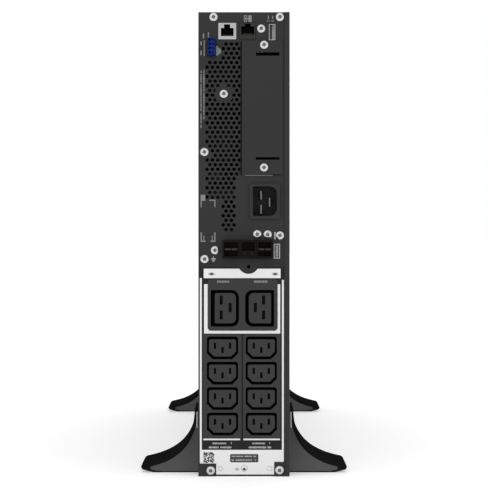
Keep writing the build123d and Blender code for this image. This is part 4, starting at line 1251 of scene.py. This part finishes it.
boardLook = {
    "capY": [-188.5 + (row - 1.5) * 34 for row in range(4)],
    "capZ": (192, 227, 262),
    "capRadius": 12.6,
    "score": 7,                       # half length of the marks on each capacitor
    "level": -31.8,
    "least": (0.8, 0.5, 0.6),
    "rows": [                         # start, step and count of the rows, then what fills each
        ("smallParts", ((20.0, 240.0), 9.0, 20), (33, (0, 5.0, 0), (1.2, 2.8, 1.6), 0.42, 41)),
        ("largeParts", ((-260.0, 20.0), 11.0, 36), (24, (0, 6.0, 0), (1.2, 3.4, 2.0), 0.3, 42)),
    ],
}


def capTops():
    look = boardLook
    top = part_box("bus_capacitors")[1].x / mm
    discs = Print("capDiscs", sinkAluminium, "right", top)
    scores = Print("capScores", inkDark, "right", top + inkThickness)
    radius, score = look["capRadius"], look["score"]
    for y in look["capY"]:
        for z in look["capZ"]:
            discs.oval((y, z), (radius, radius))
            scores.bars(((y - score, y + score), (z - 0.3, z + 0.3)))
            for limits in ((z + 0.3, z + score), (z - score, z - 0.3)):
                scores.bars(((y - 0.3, y + 0.3), limits))
    discs.done("sink_aluminium")
    scores.done("capacitor_sleeve")


def boardParts():
    look = boardLook
    parts = []
    for name, ((y, z), rise, rowCount), rest in look["rows"]:
        starts = [(look["level"], y, z + row * rise) for row in range(rowCount)]
        parts.append(markField(name, headerPlastic, starts, *rest, look["least"]))
    onChassis(joined("boardParts", parts), "circuit_board")


coreShade = mouldedPlastic("coreShade", (0.03, 0.045, 0.03), 0.45)
windCoils()
capTops()
boardParts()
print("power parts dressed")


hubLook = {"radius": 13.5, "rowStart": -8.0, "rowHeights": (4.5, 0.0, -4.5)}
sideLook = {
    "label": ((-70.0, 30.0), (140.0, 205.0)),
    "rows": (-64.0, 196.0, -6.0, 7),          # start, top, step and count
    "bars": (-64.0, 148.0),
    "code": (8.0, 180.0, 1.3, 14),            # start, foot, cell and cells each way
    "boxes": (8.0, 19.0),
    "boxSize": 9.0,
    "boxFoot": 144.0,
}


def printHubs():
    look = hubLook
    for fan in ("upper", "lower"):
        low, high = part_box(f"fan_frame_{fan}")
        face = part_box(f"fan_rotor_{fan}")[0].y / mm
        middle = (low.z + high.z) / 2 / mm
        disc = Print(fan + "Hub", inkGrey, "rear", face)
        disc.oval((0.0, middle), (look["radius"], look["radius"]))
        disc.done("label_film", fan + "_fan")
        starts = [(look["rowStart"], face - inkThickness, middle + height) for height in look["rowHeights"]]
        rows = markField(fan + "HubRows", inkDark, starts, 9, (2.0, 0, 0), (1.6, 0.08, 2.4), 0.85, 51)
        onBody(fan + "_fan", rows, "label_film")


def printSideLabel():
    look = sideLook
    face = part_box("base_wall")[0].x / mm
    label = Print("sideLabel", inkWhite, "left", face)
    label.rounded(*look["label"], 2.5)
    label.done()
    level = face - inkThickness
    start, top, step, count = look["rows"]
    rows = [(level, start, top + row * step) for row in range(count)]
    bars = [(level, *look["bars"])]
    left, foot, cell, cells = look["code"]
    code, size = [(level, left, foot + row * cell) for row in range(cells)], (0.08, cell, cell)
    parts = [
        markField("labelRows", inkDark, rows, 30, (0, 2.1, 0), (0.08, 1.8, 2.4), 0.84, 61),
        markField("labelBars", inkDark, bars, 60, (0, 0.95, 0), (0.08, 0.55, 7.0), 0.72, 62, (1, 0.4, 1)),
        markField("labelCode", inkDark, code, cells, (0, cell, 0), size, 0.52, 63, (1, 1, 1)),
    ]
    onChassis(joined("sideLabelMarks", parts), "label_film")
    frames = Print("sideLabelBoxes", inkDark, "left", level)
    size, foot = look["boxSize"], look["boxFoot"]
    for start in look["boxes"]:
        frames.rounded((start, start + size), (foot, foot + size), 1.0, 0.7)
    frames.done()


printHubs()
printSideLabel()
print("hubs and label printed")


stageLook = {"floorSize": 60.0, "floorShade": 0.8, "floorGlow": 0.3, "worldStrength": 1.0}
viewLook = {"distance": 1.40, "height": 0.2162, "widthAtPanel": 0.4543, "sensor": 36.0}
softboxes = {      # place, height of the aim, size and power
    "keySoftbox": ((-0.9, -2.2, 1.5), 0.22, (1.4, 1.4), 2.5),
    "fillSoftbox": ((1.3, -1.8, 0.9), 0.22, (1.2, 1.2), 1.0),
    "topSoftbox": ((0.0, 0.2, 2.2), 0.2, (1.6, 2.0), 3),
    "backSoftbox": ((0.8, 2.2, 1.4), 0.22, (1.4, 1.4), 4),
}
white = (1.0, 1.0, 1.0, 1.0)


def makeFloor():
    half, shade = stageLook["floorSize"] / 2, stageLook["floorShade"]
    shape = bmesh.new()
    corners = ((-half, -half), (half, -half), (half, half), (-half, half))
    shape.faces.new([shape.verts.new((x, y, 0)) for x, y in corners])
    floorPaint = Finish("floorPaint", (shade, shade, shade), 0.7)
    floorPaint.set("Emission Color", white).set("Emission Strength", stageLook["floorGlow"])
    mesh = bpy.data.meshes.new("floor")
    shape.to_mesh(mesh)
    shape.free()
    mesh.materials.append(floorPaint.material)
    newPiece("floor", mesh)


def makeWorld():
    world = bpy.data.worlds.new("studio")
    bpy.context.scene.world = world
    world.use_nodes = True
    background = world.node_tree.nodes["Background"]
    background.inputs["Color"].default_value = white
    background.inputs["Strength"].default_value = stageLook["worldStrength"]


def makeSoftbox(name, place, aim, size, power):
    light = bpy.data.lights.new(name, "AREA")
    light.shape = "RECTANGLE"
    light.size, light.size_y = size
    light.energy = power
    lamp = bpy.data.objects.new(name, light)
    lamp.location = place
    lamp.rotation_mode = "QUATERNION"
    lamp.rotation_quaternion = (Vector((0, 0, aim)) - Vector(place)).to_track_quat("-Z", "Y")
    bpy.context.scene.collection.objects.link(lamp)


def makeCamera():
    look = viewLook
    camera = bpy.data.cameras.new("camera")
    camera.sensor_width = look["sensor"]
    camera.lens = look["sensor"] * look["distance"] / look["widthAtPanel"]
    holder = bpy.data.objects.new("camera", camera)
    holder.location = (0.0, panelY - look["distance"], look["height"])
    holder.rotation_euler = (math.pi / 2, 0.0, 0.0)
    bpy.context.scene.collection.objects.link(holder)
    bpy.context.scene.camera = holder


makeFloor()
makeWorld()
for name, look in softboxes.items():
    makeSoftbox(name, *look)
makeCamera()
bpy.context.scene.view_settings.view_transform = "Standard"
print("stage set")
